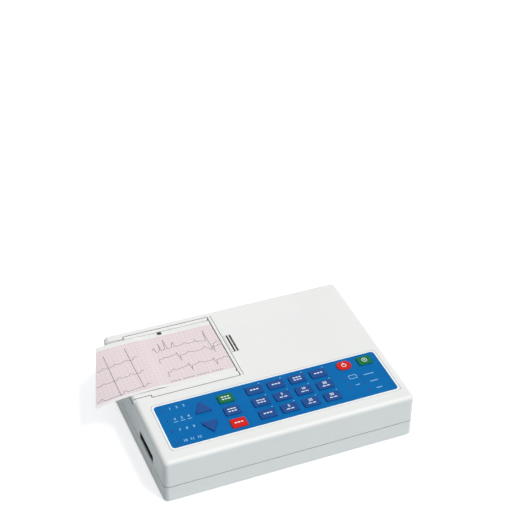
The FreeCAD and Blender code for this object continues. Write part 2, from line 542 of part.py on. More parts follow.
def platen():
    bushes = []
    for i, span in enumerate(cheek_spans()):
        sleeve = rod(f"bush_sleeve_{i}", "bush_radius", "y", span, PLATEN_X, PLATEN_Z)
        bore = rod(f"bush_hole_{i}", "shaft_radius + running_gap", "y", (f"{span[0]} - 1", f"{span[1]} + 1"),
                   PLATEN_X, PLATEN_Z)
        bushes.append(cut(f"bush_{i}", sleeve, bore))
    node("platen_bushes", on_deck(group("bush_group", bushes)))
    shaft = rod("platen_shaft_rod", "shaft_radius", "y", (GEAR_Y[0], f"{CHANNEL_Y[1]} + cheek_thickness"),
                PLATEN_X, PLATEN_Z)
    node("platen_shaft", on_deck(shaft))
    span = (f"{CHANNEL_Y[0]} + paper_side_gap", f"{CHANNEL_Y[1]} - paper_side_gap")
    sleeve = rod("platen_sleeve", "platen_radius", "y", span, PLATEN_X, PLATEN_Z)
    bore = rod("platen_bore", "shaft_radius + running_gap", "y", (f"{span[0]} - 1", f"{span[1]} + 1"),
               PLATEN_X, PLATEN_Z)
    node("platen_roller", on_deck(cut("platen_roller_cut", sleeve, bore)))


def gear_shape(teeth, bore, first_angle):
    # a spur gear about z, one tooth at the first angle, with near-involute flanks
    pitch = SIZES["gear_module"] * teeth / 2
    pressure = math.radians(20)
    base, tip, root = pitch * math.cos(pressure), pitch + SIZES["tooth_tip"], pitch - SIZES["tooth_root"]
    start = max(base, root)
    roll = lambda r: math.tan(math.acos(base / r)) - math.acos(base / r)
    half_at_pitch = math.pi / (2 * teeth) - SIZES["tooth_backlash"] / (2 * pitch)
    half = lambda r: half_at_pitch + roll(pitch) - roll(r)
    point = lambda r, angle: FreeCAD.Vector(r * math.cos(angle), r * math.sin(angle), 0)
    arc = lambda a, b, c: Part.Arc(a, b, c).toShape()
    middle, step, edges = (start + tip) / 2, 2 * math.pi / teeth, []
    for i in range(teeth):
        centre = first_angle + i * step
        for side in (-1, 1):
            foot, hip = point(root, centre + side * half(start)), point(start, centre + side * half(start))
            flank = [hip, point(middle, centre + side * half(middle)), point(tip, centre + side * half(tip))]
            edges.append(arc(*flank))
            if start > root:
                edges.append(Part.LineSegment(foot, hip).toShape())
        edges.append(arc(point(tip, centre - half(tip)), point(tip, centre), point(tip, centre + half(tip))))
        edges.append(arc(point(root, centre + half(start)), point(root, centre + step / 2),
                         point(root, centre + step - half(start))))
    outline = Part.Wire(Part.__sortEdges__(edges))
    blank = Part.Face(outline).extrude(FreeCAD.Vector(0, 0, SIZES["gear_width"]))
    return blank.cut(Part.makeCylinder(bore, SIZES["gear_width"]))


def gear(label, teeth, bore, depth, first_angle):
    obj = doc.addObject("Part::Feature", f"{label}_shape")
    obj.Shape = gear_shape(teeth, bore + SIZES["running_gap"], first_angle)
    x = -SIZES["body_width"] / 2 + SIZES["lid_right"] - SIZES["platen_right"]
    y = (SIZES["lid_front"] + SIZES["channel_front"] - SIZES["cheek_thickness"] - SIZES["gear_gap"]
         - SIZES["gear_width"])
    obj.Placement = deck_placement(x, y, -depth, TURN["y"])
    node(label, obj)


def drive():
    down, up = math.pi / 2, -math.pi / 2
    platen_teeth, pinion_teeth = SIZES["platen_teeth"], SIZES["pinion_teeth"]
    centre_distance = SIZES["gear_module"] * (platen_teeth + pinion_teeth) / 2
    gear("platen_gear", platen_teeth, SIZES["shaft_radius"], SIZES["platen_depth"], down)
    gear("motor_pinion", pinion_teeth, SIZES["motor_shaft_radius"], SIZES["platen_depth"] + centre_distance,
         up + math.pi / pinion_teeth)
    motor_y = (f"({TRAY_Y[0]} - tray_wall - motor_length)", f"({TRAY_Y[0]} - tray_wall)")
    grip = f"({motor_y[1]} - motor_shaft_grip)"
    can = rod("motor_can", "motor_radius", "y", motor_y, PLATEN_X, PINION_Z)
    bore = rod("motor_bore", "motor_shaft_radius + running_gap", "y",
               (f"{grip} - fit_gap", f"{motor_y[1]} + 1"), PLATEN_X, PINION_Z)
    node("stepper_motor", on_deck(cut("stepper_motor_cut", can, bore)))
    shaft = rod("motor_shaft_rod", "motor_shaft_radius", "y", (grip, GEAR_Y[1]), PLATEN_X, PINION_Z)
    node("motor_shaft", on_deck(shaft))


def print_head():
    y = (f"{CHANNEL_Y[0]} + paper_side_gap", f"{CHANNEL_Y[1]} - paper_side_gap")
    z = (f"{PLATEN_Z} - head_height/2", f"{PLATEN_Z} + head_height/2")
    node("print_head", on_deck(box("print_head_bar", HEAD_X, y, z)))
    middle = f"({CHANNEL_Y[0]} + paper_width/2 + paper_side_gap)"
    span = (f"{middle} - leaf_length/2", f"{middle} + leaf_length/2")
    head_leaf = box("leaf_at_head", (HEAD_X[1], f"{HEAD_X[1]} + leaf_thickness"), span, z)
    wall_leaf = box("leaf_at_wall", (f"{TRAY_X[1]} - leaf_thickness", TRAY_X[1]), span, z)
    bend = box("leaf_bend", (HEAD_X[1], TRAY_X[1]), span, (z[0], f"{z[0]} + leaf_thickness"))
    node("head_spring", on_deck(fuse("head_spring_leaf", head_leaf, wall_leaf, bend)))


def paper_tray():
    floor = "(-tray_depth)"
    outside = box("tray_block", (f"{TRAY_X[0]} - tray_wall", f"{TRAY_X[1]} + tray_wall"),
                  (f"{TRAY_Y[0]} - tray_wall", f"{TRAY_Y[1]} + tray_wall"), (f"{floor} - tray_wall", "-wall"))
    inside = box("tray_room", TRAY_X, TRAY_Y, (floor, "0"))
    ends = [box(f"tray_end_cut_{i}", x, (f"{TRAY_Y[0]} - 2*tray_wall", f"{TRAY_Y[1]} + 2*tray_wall"),
                ("-tray_end_depth", "0"))
            for i, x in enumerate([(f"{TRAY_X[0]} - 2*tray_wall", TRAY_X[0]),
                                   (HEAD_X[0], f"{TRAY_X[1]} + 2*tray_wall")])]
    pad_x, pad_y = pad_spans()
    before = lambda place: (f"{place} - paper_side_gap - tray_wall", f"{place} - paper_side_gap")
    past = lambda place: (f"{place} + paper_side_gap", f"{place} + paper_side_gap + tray_wall")
    guides = [box(f"pad_guide_{i}", pad_x, y, (f"{floor} - tray_wall/2", f"{floor} + pad_thickness"))
              for i, y in enumerate([before(pad_y[0]), past(pad_y[1])])]
    stop = box("pad_stop", past(pad_x[1]), pad_y, (f"{floor} - tray_wall/2", f"{floor} + pad_thickness/2"))
    shaft_way = rod("tray_shaft_way", "3*motor_shaft_radius", "y",
                    (f"{TRAY_Y[0]} - 2*tray_wall", f"{TRAY_Y[0]} + 1"), PLATEN_X, PINION_Z)
    tub = cut("tray_tub", outside, inside, shaft_way, *ends)
    node("paper_tray", on_deck(fuse("paper_tray_body", tub, stop, *guides)))
    node("paper_pad", on_deck(box("paper_pad_block", pad_x, pad_y, (floor, f"{floor} + pad_thickness"))))


def pad_spans():
    return ((f"({TRAY_X[0]} + pad_side_gap)", f"({TRAY_X[0]} + pad_side_gap + pad_length)"),
            (f"({CHANNEL_Y[0]} + paper_side_gap)", f"({CHANNEL_Y[0]} + paper_side_gap + paper_width)"))


def paper_path():
    # the chart paper from the pad, round the platen, out of the slot, along the lid and over the left edge
    s = SIZES
    y = s["lid_front"] + s["channel_front"] + s["paper_side_gap"]
    at = lambda x, z: FreeCAD.Vector(x, y, z)
    lid_right = -s["body_width"] / 2 + s["lid_right"]
    centre_x, centre_z = lid_right - s["platen_right"], -s["platen_depth"]
    wrap = s["platen_radius"] + s["paper_lift"] + s["paper_thickness"]
    on_wrap = lambda degrees: at(centre_x + wrap * math.cos(math.radians(degrees)),
                                 centre_z + wrap * math.sin(math.radians(degrees)))
    pad_edge = (-s["body_width"] / 2 + s["tray_left"] + s["tray_wall"] + s["pad_side_gap"] + s["pad_length"])
    pad_top = -s["tray_depth"] + s["pad_thickness"] + s["paper_lift"]
    # the run from the pad's upper edge meets the platen at a tangent
    dx, dz = centre_x - pad_edge, centre_z - pad_top
    reach = math.hypot(dx, dz)
    touch = math.degrees(math.atan2(-dz, -dx) + math.acos(wrap / reach))
    bed = -s["channel_depth"] + s["paper_lift"]
    bend = s["paper_thickness"] * 4
    bend_x, bend_z = centre_x + wrap - bend, bed + s["paper_thickness"] - bend
    on_bend = lambda degrees: at(bend_x + bend * math.cos(math.radians(degrees)),
                                 bend_z + bend * math.sin(math.radians(degrees)))
    left = -s["body_width"] / 2
    crest = at(left + s["crest_left"], bed + s["paper_thickness"] + s["crest_rise"])
    edge = at(left, bed + s["paper_thickness"])
    end = at(left - s["paper_overhang"], bed - s["paper_droop"])
    ramp = at(left + s["crest_left"] + s["ramp_length"], bed + s["paper_thickness"])
    line = lambda a, b: Part.LineSegment(a, b).toShape()
    path = [line(at(pad_edge, pad_top), on_wrap(touch)),
            Part.Arc(on_wrap(touch), on_wrap(touch / 2), on_wrap(0)).toShape(),
            line(on_wrap(0), on_bend(0)), Part.Arc(on_bend(0), on_bend(45), on_bend(90)).toShape(),
            line(on_bend(90), ramp), line(ramp, crest), line(crest, edge), line(edge, end)]
    return path


def chart_paper():
    wire = Part.Wire(paper_path())
    face = wire.makeOffset2D(SIZES["paper_thickness"], 2, True, True)
    obj = doc.addObject("Part::Feature", "paper_strip_shape")
    strip = face.extrude(FreeCAD.Vector(0, SIZES["paper_width"], 0))
    # the free end is torn off at a slant
    left, depth = -SIZES["body_width"] / 2, -SIZES["tray_depth"]
    front = SIZES["lid_front"] + SIZES["channel_front"] + SIZES["paper_side_gap"]
    back, far = front + SIZES["paper_width"], left - 2 * SIZES["paper_overhang"]
    tear = [(left - SIZES["paper_overhang"], front), (left - SIZES["paper_overhang_back"], back)]
    corners = [FreeCAD.Vector(x, y, depth) for x, y in tear + [(far, back), (far, front)]]
    waste = Part.Face(Part.makePolygon(corners + corners[:1])).extrude(FreeCAD.Vector(0, 0, -2 * depth))
    obj.Shape = strip.cut(waste)
    obj.Placement = deck_placement()
    node("paper_strip", obj)


def lid_latch():
    top, bottom = LATCH_TOP, f"({LATCH_TOP} - latch_plate)"
    first = (f"({SLOT_X[0]} + fit_gap)", f"({SLOT_X[0]} + fit_gap + latch_rib)")
    second = (f"({first[1]} + latch_groove)", f"({first[1]} + latch_groove + latch_thin_rib)")
    rib_y = (f"{SLOT_Y[0]} + fit_gap", f"{SLOT_Y[1]} - fit_gap")
    plate_y = (f"{SLOT_Y[0]} - latch_lap", f"{SLOT_Y[1]} + latch_lap")
    plate = box("latch_slide", (f"{SLOT_X[0]} - latch_lap", f"{SLOT_X[1]} - fit_gap"), plate_y, (bottom, top))
    ribs = [box(f"latch_rib_{i}", x, rib_y, (bottom, "latch_rise")) for i, x in enumerate((first, second))]
    nose = box("latch_nose_block", (f"{SLOT_X[0]} - latch_lap - latch_nose", f"{SLOT_X[0]} - latch_lap"),
               ("latch_middle - latch_nose_width/2", "latch_middle + latch_nose_width/2"), (bottom, top))
    node("lid_latch", on_deck(fuse("lid_latch_body", plate, nose, *ribs)))


INPUT_BOARD_Z = ("(socket_middle_z - socket_height/2 - board_thickness)",
                 "(socket_middle_z - socket_height/2)")
SOCKET_X = (f"({LEFT} + socket_setback)", f"({LEFT} + socket_setback + socket_depth)")


def input_posts():
    return [(f"{SOCKET_X[0]} + input_board_width - post_radius",
             f"socket_middle_y + {side}*(input_board_length/2 - post_radius)") for side in (-1, 1)] + \
           [(f"{SOCKET_X[0]} + post_radius", f"socket_middle_y + {side}*(input_board_length/2 - post_radius)")
            for side in (-1, 1)]


def patient_input():
    body = box("socket_body", SOCKET_X,
               ("socket_middle_y - socket_width/2", "socket_middle_y + socket_width/2"),
               ("socket_middle_z - socket_height/2", "socket_middle_z + socket_height/2"))
    mouth = box("socket_mouth", (f"{SOCKET_X[0]} - 1", f"{SOCKET_X[0]} + socket_mouth_depth"),
                ("socket_middle_y - socket_mouth_width/2", "socket_middle_y + socket_mouth_width/2"),
                ("socket_middle_z - socket_mouth_height/2", "socket_middle_z + socket_mouth_height/2"))
    node("patient_socket", cut("patient_socket_cut", body, mouth))
    pins = []
    for count, side in ((8, 1), (7, -1)):
        for i in range(count):
            y = f"socket_middle_y + {i - (count - 1) / 2}*contact_pitch"
            floor = f"{SOCKET_X[0]} + socket_mouth_depth"
            span = (f"{floor} - contact_length", floor)
            pins.append(rod(f"contact_{side + 1}_{i}", "contact_radius", "x", span, y,
                            f"socket_middle_z + {side}*contact_row/2"))
    node("patient_pins", group("contact_group", pins))
    board = box("input_board_box", (SOCKET_X[0], f"{SOCKET_X[0]} + input_board_width"),
                ("socket_middle_y - input_board_length/2", "socket_middle_y + input_board_length/2"),
                INPUT_BOARD_Z)
    node("input_board", board)


def back_connectors():
    y = (f"({BACK} - inlet_depth)", BACK)
    body = middle_box("inlet_body", "inlet_middle_x", "inlet_width", y, "connector_height", "inlet_height")
    floor = f"({BACK} - inlet_mouth_depth)"
    mouth = middle_box("inlet_mouth", "inlet_middle_x", "(inlet_width - 2*inlet_wall)",
                       (floor, f"{BACK} + 1"), "connector_height", "(inlet_height - 2*inlet_wall)")
    node("mains_inlet", cut("mains_inlet_cut", body, mouth))
    blades = [middle_box(f"blade_{i}", f"(inlet_middle_x + {i - 1}*blade_pitch)", "blade_thickness",
                         (floor, f"{floor} + blade_length"),
                         f"(connector_height + {1 if i == 1 else -1}*blade_offset)", "blade_width")
              for i in range(3)]
    node("mains_pins", group("blade_group", blades))
    block = middle_box("serial_body", "serial_middle_x", "serial_width",
                       (f"{BACK} - serial_depth", BACK), "connector_height", "serial_height")
    nose = middle_box("serial_nose", "serial_middle_x", "serial_nose_width",
                      (BACK, f"{BACK} + serial_nose_length"), "connector_height", "serial_nose_height")
    node("serial_socket", fuse("serial_socket_body", block, nose))
    inner = f"({BACK} - wall)"
    pin = rod("stud_pin", "stud_radius", "y", (f"{BACK} - wall/2", f"{BACK} + stud_length"), "stud_middle_x",
              "connector_height")
    neck = rod("stud_neck", "stud_neck_radius", "y", (f"{inner} - stud_flange_length", BACK), "stud_middle_x",
               "connector_height")
    flange = rod("stud_flange", "stud_flange_radius", "y", (f"{inner} - stud_flange_length", inner),
                 "stud_middle_x", "connector_height")
    node("earth_stud", fuse("earth_stud_body", pin, neck, flange))


MAIN_BOARD_X = (f"({LEFT} + main_board_left)", f"({LEFT} + main_board_left + main_board_width)")
MAIN_BOARD_Y = (f"({FRONT} + main_board_front)", f"({FRONT} + main_board_front + main_board_length)")


def board_posts():
    return [(f"{x} + {-side}*board_post_inset", f"{y} + {-end}*board_post_inset")
            for side, x in zip((-1, 1), MAIN_BOARD_X) for end, y in zip((-1, 1), MAIN_BOARD_Y)]


def insides():
    low = f"({INSIDE_FLOOR} + post_height)"
    node("main_board", box("main_board_box", MAIN_BOARD_X, MAIN_BOARD_Y, (low, f"{low} + board_thickness")))
    door_x = ("door_left", "(door_left + door_width)")
    door_y = (f"({FRONT} + door_front)", f"({FRONT} + door_front + door_length)")
    node("battery_door", box("battery_door_box", door_x, door_y, ("foot_height", INSIDE_FLOOR)))
    within = lambda span: (f"{span[0]} + battery_inset", f"{span[1]} - battery_inset")
    node("battery_pack", box("battery_pack_box", within(door_x), within(door_y),
                             (INSIDE_FLOOR, f"{INSIDE_FLOOR} + battery_height")))
    x = ("supply_left", "(supply_left + supply_width)")
    y = (f"({FRONT} + supply_front)", f"({FRONT} + supply_front + supply_length)")
    core = box("supply_core", x, (f"{y[0]} + coil_overhang", f"{y[1]} - coil_overhang"),
               (INSIDE_FLOOR, f"{INSIDE_FLOOR} + supply_height"))
    coil = box("supply_coil", (f"{x[0]} + coil_inset", f"{x[1]} - coil_inset"), y,
               (f"{INSIDE_FLOOR} + coil_inset", f"{INSIDE_FLOOR} + supply_height - coil_inset"))
    node("mains_transformer", fuse("supply_body", core, coil))


def main():
    for build in (bottom_shell, rubber_feet, housing_screws, top_cover, keypad, keys, paper_lid, hinge_pins,
                  platen, drive, print_head, paper_tray, chart_paper, lid_latch, patient_input, back_connectors,
                  insides):
        build()
    doc.recompute()
    failed = [obj.Label for obj in doc.Objects if "Invalid" in obj.State or "Error" in obj.State]
    failed += [label for label, obj in nodes.items() if obj.Shape.isNull() or not obj.Shape.isValid()]
    if failed:
        raise SystemExit(f"these objects failed: {failed}")
    os.makedirs("parts", exist_ok=True)
    for label, obj in nodes.items():
        obj.Shape.exportStep(f"parts/{label}.step")
    print(len(nodes), "sub-parts written")


main()
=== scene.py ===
import bpy
import bmesh
import json
import math
from mathutils import Matrix, Vector


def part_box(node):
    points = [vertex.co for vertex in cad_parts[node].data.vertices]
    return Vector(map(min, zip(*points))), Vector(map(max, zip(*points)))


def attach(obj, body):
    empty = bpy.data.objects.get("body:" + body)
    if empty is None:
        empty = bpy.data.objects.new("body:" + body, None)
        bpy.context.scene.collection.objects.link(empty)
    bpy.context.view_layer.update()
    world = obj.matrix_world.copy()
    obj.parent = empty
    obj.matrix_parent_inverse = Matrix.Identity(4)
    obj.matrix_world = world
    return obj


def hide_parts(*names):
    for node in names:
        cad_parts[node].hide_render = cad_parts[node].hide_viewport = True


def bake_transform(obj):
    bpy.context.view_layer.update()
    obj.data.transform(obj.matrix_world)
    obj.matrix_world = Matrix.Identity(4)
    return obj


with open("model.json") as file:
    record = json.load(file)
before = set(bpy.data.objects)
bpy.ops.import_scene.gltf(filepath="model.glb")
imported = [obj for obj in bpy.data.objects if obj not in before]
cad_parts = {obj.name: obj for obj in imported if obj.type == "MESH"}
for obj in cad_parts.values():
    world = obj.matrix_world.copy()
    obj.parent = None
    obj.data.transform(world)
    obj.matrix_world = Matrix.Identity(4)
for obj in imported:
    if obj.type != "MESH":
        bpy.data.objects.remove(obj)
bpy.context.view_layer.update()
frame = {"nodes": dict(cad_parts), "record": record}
scene = bpy.context.scene
scene.view_settings.view_transform = "Standard"
mm = 0.001
perMetre = 1000  # a pattern's scale is this over its size in millimetres
tiny = 1e-7  # metres: coordinates closer than this are the same

# The sloping deck, found again from the lid hinge and the blue foil
hinge = next(j for j in frame["record"]["behaviour"]["joints"] if j["name"] == "lid_hinge")
slope = math.atan2(abs(hinge["axis"][2]), abs(hinge["axis"][1]))
caseLow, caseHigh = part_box("bottom_shell")
leftFace = caseLow[0] / mm
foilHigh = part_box("keypad_overlay")[1]
deckFront = Vector((0, caseLow[1], foilHigh[2] - (foilHigh[1] - caseLow[1]) * math.tan(slope)))
deck = Matrix.Translation(deckFront) @ Matrix.Rotation(slope, 4, "X")


def onDeck(x, v, n):  # millimetres: across, up the slope from the front edge, out of the deck
    return deck @ Vector((x * mm, v * mm, n * mm))


def deckPlace(node):  # middle of a node on the deck: millimetres across and up the slope
    low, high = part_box(node)
    middle = deck.inverted() @ ((Vector(low) + Vector(high)) / 2)
    return (middle / mm)[:2]


def toLinear(code):  # sRGB hex to the linear colour that a socket takes
    values = [int(code[i:i + 2], 16) / 255 for i in (1, 3, 5)]
    return [c / 12.92 if c <= 0.04045 else ((c + 0.055) / 1.055) ** 2.4 for c in values] + [1.0]


def addNode(tree, kind, settings=None, values=None, links=None):
    node = tree.nodes.new(kind)
    for name, value in (settings or {}).items():
        setattr(node, name, value)
    for name, value in (values or {}).items():
        node.inputs[name].default_value = value
    for name, socket in (links or {}).items():
        tree.links.new(socket, node.inputs[name])
    return node


def startMaterial(name):
    material = bpy.data.materials.new(name)
    material.use_nodes = True
    material.node_tree.nodes.clear()
    return material, material.node_tree


colourMix = {"data_type": "RGBA"}
colourA, colourB, mixed = 6, 7, 2  # the colour sockets of a Mix node: two in, one out

# Finishes that share one build: a tone that drifts, a fine grain that breaks up the gloss, and a bump.
# The real grain, about a tenth of a millimetre, is too fine to show, so grainMm draws it coarser
finishes = {
    # moulded ABS from a spark-eroded tool: matt white, faint grain, painted shade in narrow gaps
    "housing_abs_white": {"colours": ("#e9e9e6", "#efefec"), "driftMm": 70, "grainMm": 1.6,
                          "rough": (0.42, 0.52), "bumpMm": 0.03,
                          "gapShade": "#232523", "shadeReachMm": 2.2, "shadeAo": (0.36, 0.64), "lessShadeBelow": 0.5},
    # the same ABS, a shade brighter and smoother where hands and paper rub it, with painted shade in
    # narrow gaps
    "lid_abs_white": {"colours": ("#eaeae7", "#f1f1ee"), "driftMm": 50, "grainMm": 1.6,
                      "rough": (0.38, 0.48), "bumpMm": 0.025,
                      "gapShade": "#232523", "shadeReachMm": 2.2, "shadeAo": (0.31, 0.55)},
    # the same ABS again, a little greyed by fingers, with painted shade between the ribs
    "latch_abs_white": {"colours": ("#e4e4e0", "#ecece8"), "driftMm": 20, "grainMm": 1.6,
                        "rough": (0.38, 0.48), "bumpMm": 0.025,
                        "gapShade": "#565856", "shadeReachMm": 3.0, "shadeAo": (0.5, 0.86)},
    # moulded polycarbonate: bright white with a cool cast, smoother than the case
    "carrier_polycarbonate_white": {"colours": ("#f1f7f8", "#fafdfd"), "driftMm": 30, "grainMm": 1.2,
                                    "rough": (0.3, 0.4), "bumpMm": 0.01},
    # back-printed polyester foil: strong blue under a satin, slightly uneven skin that mirrors little
    "foil_polyester_blue": {"colours": ("#0064a9", "#026fb2"), "driftMm": 26, "grainMm": 1.4,
                            "rough": (0.3, 0.42), "bumpMm": 0.012, "ior": 1.16},
    # moulded silicone keys: soft, dull skin that mirrors little, lighter where fingers polish it
    "key_silicone_navy": {"colours": ("#1f4a8c", "#285697"), "driftMm": 9, "grainMm": 0.9,
                          "rough": (0.42, 0.6), "bumpMm": 0.02, "ior": 1.16},
    "key_silicone_blue": {"colours": ("#1f4d90", "#29589a"), "driftMm": 9, "grainMm": 0.9,
                          "rough": (0.42, 0.6), "bumpMm": 0.02, "ior": 1.16},
    "key_silicone_red": {"colours": ("#cf1f1a", "#dd2820"), "driftMm": 9, "grainMm": 0.9,
                         "rough": (0.42, 0.6), "bumpMm": 0.02, "ior": 1.16},
    "key_silicone_green": {"colours": ("#14683f", "#1d774b"), "driftMm": 9, "grainMm": 0.9,
                           "rough": (0.42, 0.6), "bumpMm": 0.02, "ior": 1.16},
    # tinted acrylic lamp windows: glossy, dark blue while unlit
    "lamp_acrylic_blue": {"colours": ("#0b3f86", "#124a93"), "driftMm": 2, "grainMm": 0.5,
                          "rough": (0.12, 0.2), "bumpMm": 0.004},
    # moulded rubber: near black, chalky, coarse grain
    "rubber_black": {"colours": ("#17181a", "#222326"), "driftMm": 6, "grainMm": 0.7,
                     "rough": (0.7, 0.85), "bumpMm": 0.04},
    # glass-filled nylon of the connectors: black with a grey bloom
    "connector_nylon_black": {"colours": ("#121315", "#1d1e20"), "driftMm": 5, "grainMm": 0.6,
                              "rough": (0.45, 0.6), "bumpMm": 0.02},
    # moulded grey ABS of the tray: dull and even
    "tray_abs_grey": {"colours": ("#85898c", "#919597"), "driftMm": 30, "grainMm": 1.2,
                      "rough": (0.5, 0.62), "bumpMm": 0.03},
    # solder mask over copper: glossy green, tracks show as a change of tone every few millimetres
    "board_soldermask_green": {"colours": ("#13502f", "#1e6a40"), "driftMm": 4, "grainMm": 0.6,
                               "rough": (0.25, 0.4), "bumpMm": 0.02},
    # moulded acetal: waxy off-white
    "gear_acetal_white": {"colours": ("#dcd9cf", "#e6e3d9"), "driftMm": 4, "grainMm": 0.5,
                          "rough": (0.3, 0.42), "bumpMm": 0.008},
    # shrunk PVC sleeve: half-glossy slate grey
    "battery_sleeve_grey": {"colours": ("#4c5560", "#5a636e"), "driftMm": 20, "grainMm": 1.0,
                            "rough": (0.35, 0.5), "bumpMm": 0.02},
    # screen inks: opaque, slightly rough, thin at places
    "ink_white": {"colours": ("#e8ecf4", "#f4f6fa"), "driftMm": 2, "grainMm": 0.4,
                  "rough": (0.4, 0.55), "bumpMm": 0.004},
    "ink_pale_blue": {"colours": ("#86bfe0", "#9acdea"), "driftMm": 2, "grainMm": 0.4,
                      "rough": (0.4, 0.55), "bumpMm": 0.004},
    # heat-marked trace: grey-brown, uneven where the head cools
    "ink_thermal_grey": {"colours": ("#4d4146", "#63565b"), "driftMm": 3, "grainMm": 0.5,
                         "rough": (0.6, 0.7), "bumpMm": 0.002},
    # press ink of the cue mark: flat black
    "ink_cue_black": {"colours": ("#191517", "#262022"), "driftMm": 2, "grainMm": 0.5,
                      "rough": (0.5, 0.6), "bumpMm": 0.002},
}
# What all of these finishes share
mouldBuild = {"ior": 1.5, "driftDetail": 2.0, "grainDetail": 3.0, "bumpStrength": 0.5, "shadeSamples": 6}

# Painted shade is darkest round the lid: a slanting plane has the lid's seams above it, and below it are
# the parting line and the keypad's edge, where the painted shade is lighter
shadePlane = {"slant": Vector((0, 0.2, 1)), "through": (0, 92, -1.3), "fadeMm": 1.0}
shadeHeight = shadePlane["slant"].dot(onDeck(*shadePlane["through"]))


def moulded(name):
    look = finishes[name]
    material, tree = startMaterial(name)
    place = addNode(tree, "ShaderNodeTexCoord").outputs["Object"]
    drift = addNode(tree, "ShaderNodeTexNoise", None,
                    {"Scale": perMetre / look["driftMm"], "Detail": mouldBuild["driftDetail"]},
                    {"Vector": place})
    grain = addNode(tree, "ShaderNodeTexNoise", None,
                    {"Scale": perMetre / look["grainMm"], "Detail": mouldBuild["grainDetail"]},
                    {"Vector": place})
    first, second = map(toLinear, look["colours"])
    tone = addNode(tree, "ShaderNodeMix", colourMix, {colourA: first, colourB: second},
                   {"Factor": drift.outputs["Fac"]})
    low, high = look["rough"]
    gloss = addNode(tree, "ShaderNodeMapRange", None, {"To Min": low, "To Max": high},
                    {"Value": grain.outputs["Fac"]})
    bump = addNode(tree, "ShaderNodeBump", None,
                   {"Strength": mouldBuild["bumpStrength"], "Distance": look["bumpMm"] * mm},
                   {"Height": grain.outputs["Fac"]})
    colour = tone.outputs[mixed]
    # painted shade: ambient occlusion darkens narrow gaps, grooves and seams towards a dark grey
    if "gapShade" in look:
        shelter = addNode(tree, "ShaderNodeAmbientOcclusion", {"samples": mouldBuild["shadeSamples"]},
                          {"Distance": look["shadeReachMm"] * mm})
        low, high = look["shadeAo"]
        unshaded = addNode(tree, "ShaderNodeMapRange", None, {"From Min": low, "From Max": high},
                        {"Value": shelter.outputs["AO"]}).outputs[0]  # 1 in the open, 0 deep in a gap
        if "lessShadeBelow" in look:
            height = addNode(tree, "ShaderNodeVectorMath", {"operation": "DOT_PRODUCT"},
                             {1: shadePlane["slant"]}, {0: place})
            below = addNode(tree, "ShaderNodeMapRange", None,
                            {"From Min": shadeHeight, "From Max": shadeHeight + shadePlane["fadeMm"] * mm,
                             "To Min": look["lessShadeBelow"], "To Max": 0.0}, {"Value": height.outputs["Value"]})
            unshaded = addNode(tree, "ShaderNodeMath", {"operation": "MAXIMUM"}, None,
                            {0: unshaded, 1: below.outputs[0]}).outputs[0]
        shaded = addNode(tree, "ShaderNodeMix", colourMix, {colourA: toLinear(look["gapShade"])},
                        {"Factor": unshaded, colourB: colour})
        colour = shaded.outputs[mixed]
    shader = addNode(tree, "ShaderNodeBsdfPrincipled", None, {"IOR": look.get("ior", mouldBuild["ior"])},
                     {"Base Color": colour, "Roughness": gloss.outputs[0], "Normal": bump.outputs[0]})
    addNode(tree, "ShaderNodeOutputMaterial", links={"Surface": shader.outputs[0]})
    return material


# Metals: the grain is drawn out along one axis, and coarser than life so that it shows
metals = {
    # zinc-plated sheet and wire: cool grey with soft vertical streaks
    "steel_zinc_plated": {"colours": ("#9a9c9f", "#b4b6b8"), "streakMm": 0.7, "stretch": (1, 1, 8),
                          "rough": (0.28, 0.42)},
    # turned brass: warm yellow with bright lines from front to back
    "brass_turned": {"colours": ("#b08d42", "#c6a252"), "streakMm": 0.5, "stretch": (1, 8, 1),
                     "rough": (0.22, 0.36)},
    # ground aluminium alloy: dull grey, brushed from front to back
    "head_alloy_ground": {"colours": ("#8b8f93", "#a0a4a8"), "streakMm": 0.6, "stretch": (1, 6, 1),
                          "rough": (0.3, 0.45)},
}
streakDetail = 3.0


def metal(name):
    look = metals[name]
    material, tree = startMaterial(name)
    place = addNode(tree, "ShaderNodeTexCoord").outputs["Object"]
    along = addNode(tree, "ShaderNodeMapping", None,
                    {"Scale": [perMetre / look["streakMm"] / s for s in look["stretch"]]},
                    {"Vector": place})
    streak = addNode(tree, "ShaderNodeTexNoise", None, {"Scale": 1.0, "Detail": streakDetail},
                     {"Vector": along.outputs[0]})
    first, second = map(toLinear, look["colours"])
    tone = addNode(tree, "ShaderNodeMix", colourMix, {colourA: first, colourB: second},
                   {"Factor": streak.outputs["Fac"]})
    low, high = look["rough"]
    gloss = addNode(tree, "ShaderNodeMapRange", None, {"To Min": low, "To Max": high},
                    {"Value": streak.outputs["Fac"]})
    shader = addNode(tree, "ShaderNodeBsdfPrincipled", None, {"Metallic": 1.0},
                     {"Base Color": tone.outputs[mixed], "Roughness": gloss.outputs[0]})
    addNode(tree, "ShaderNodeOutputMaterial", links={"Surface": shader.outputs[0]})
    return material


# The paper strip: the same path as the solid it stands for, in deck millimetres from the left face
paper = {"width": 90.0, "front": 110.0, "thick": 0.2, "step": 2.0,
         "padEdge": 103.0, "padTop": -16.4,  # where it leaves the stack
         "platenX": 116.5, "platenN": -11.5, "platenWrap": 7.3, "leadIn": (6.0, 0.9), "platenTurn": 10,
         "slotX": 124.65, "slotRound": 1.0, "slotTurn": 15, "flatTop": -1.2,
         "rampX": 47.0, "rampRise": (5.0, 0.25),
         "crestX": 33.0, "crestTop": -0.1, "crestFall": (3.0, 0.12),
         "edgeX": 0.0, "edgeArch": 0.05,  # over the hinge end to the left face
         "endX": -40.0, "endBackX": -12.8, "endTop": -7.05, "droop": 1.4, "droopSteps": 4}


def arc(x, n, radius, turns):  # points round a middle, at angles in degrees
    angles = [math.radians(turn) for turn in turns]
    return [(x + radius * math.cos(a), n + radius * math.sin(a)) for a in angles]


def between(a, b, steps):  # points after a, up to b, in this many steps or the next whole number
    count = max(1, math.ceil(steps))
    return [(a[0] + (b[0] - a[0]) * i / count, a[1] + (b[1] - a[1]) * i / count)
            for i in range(1, count + 1)]


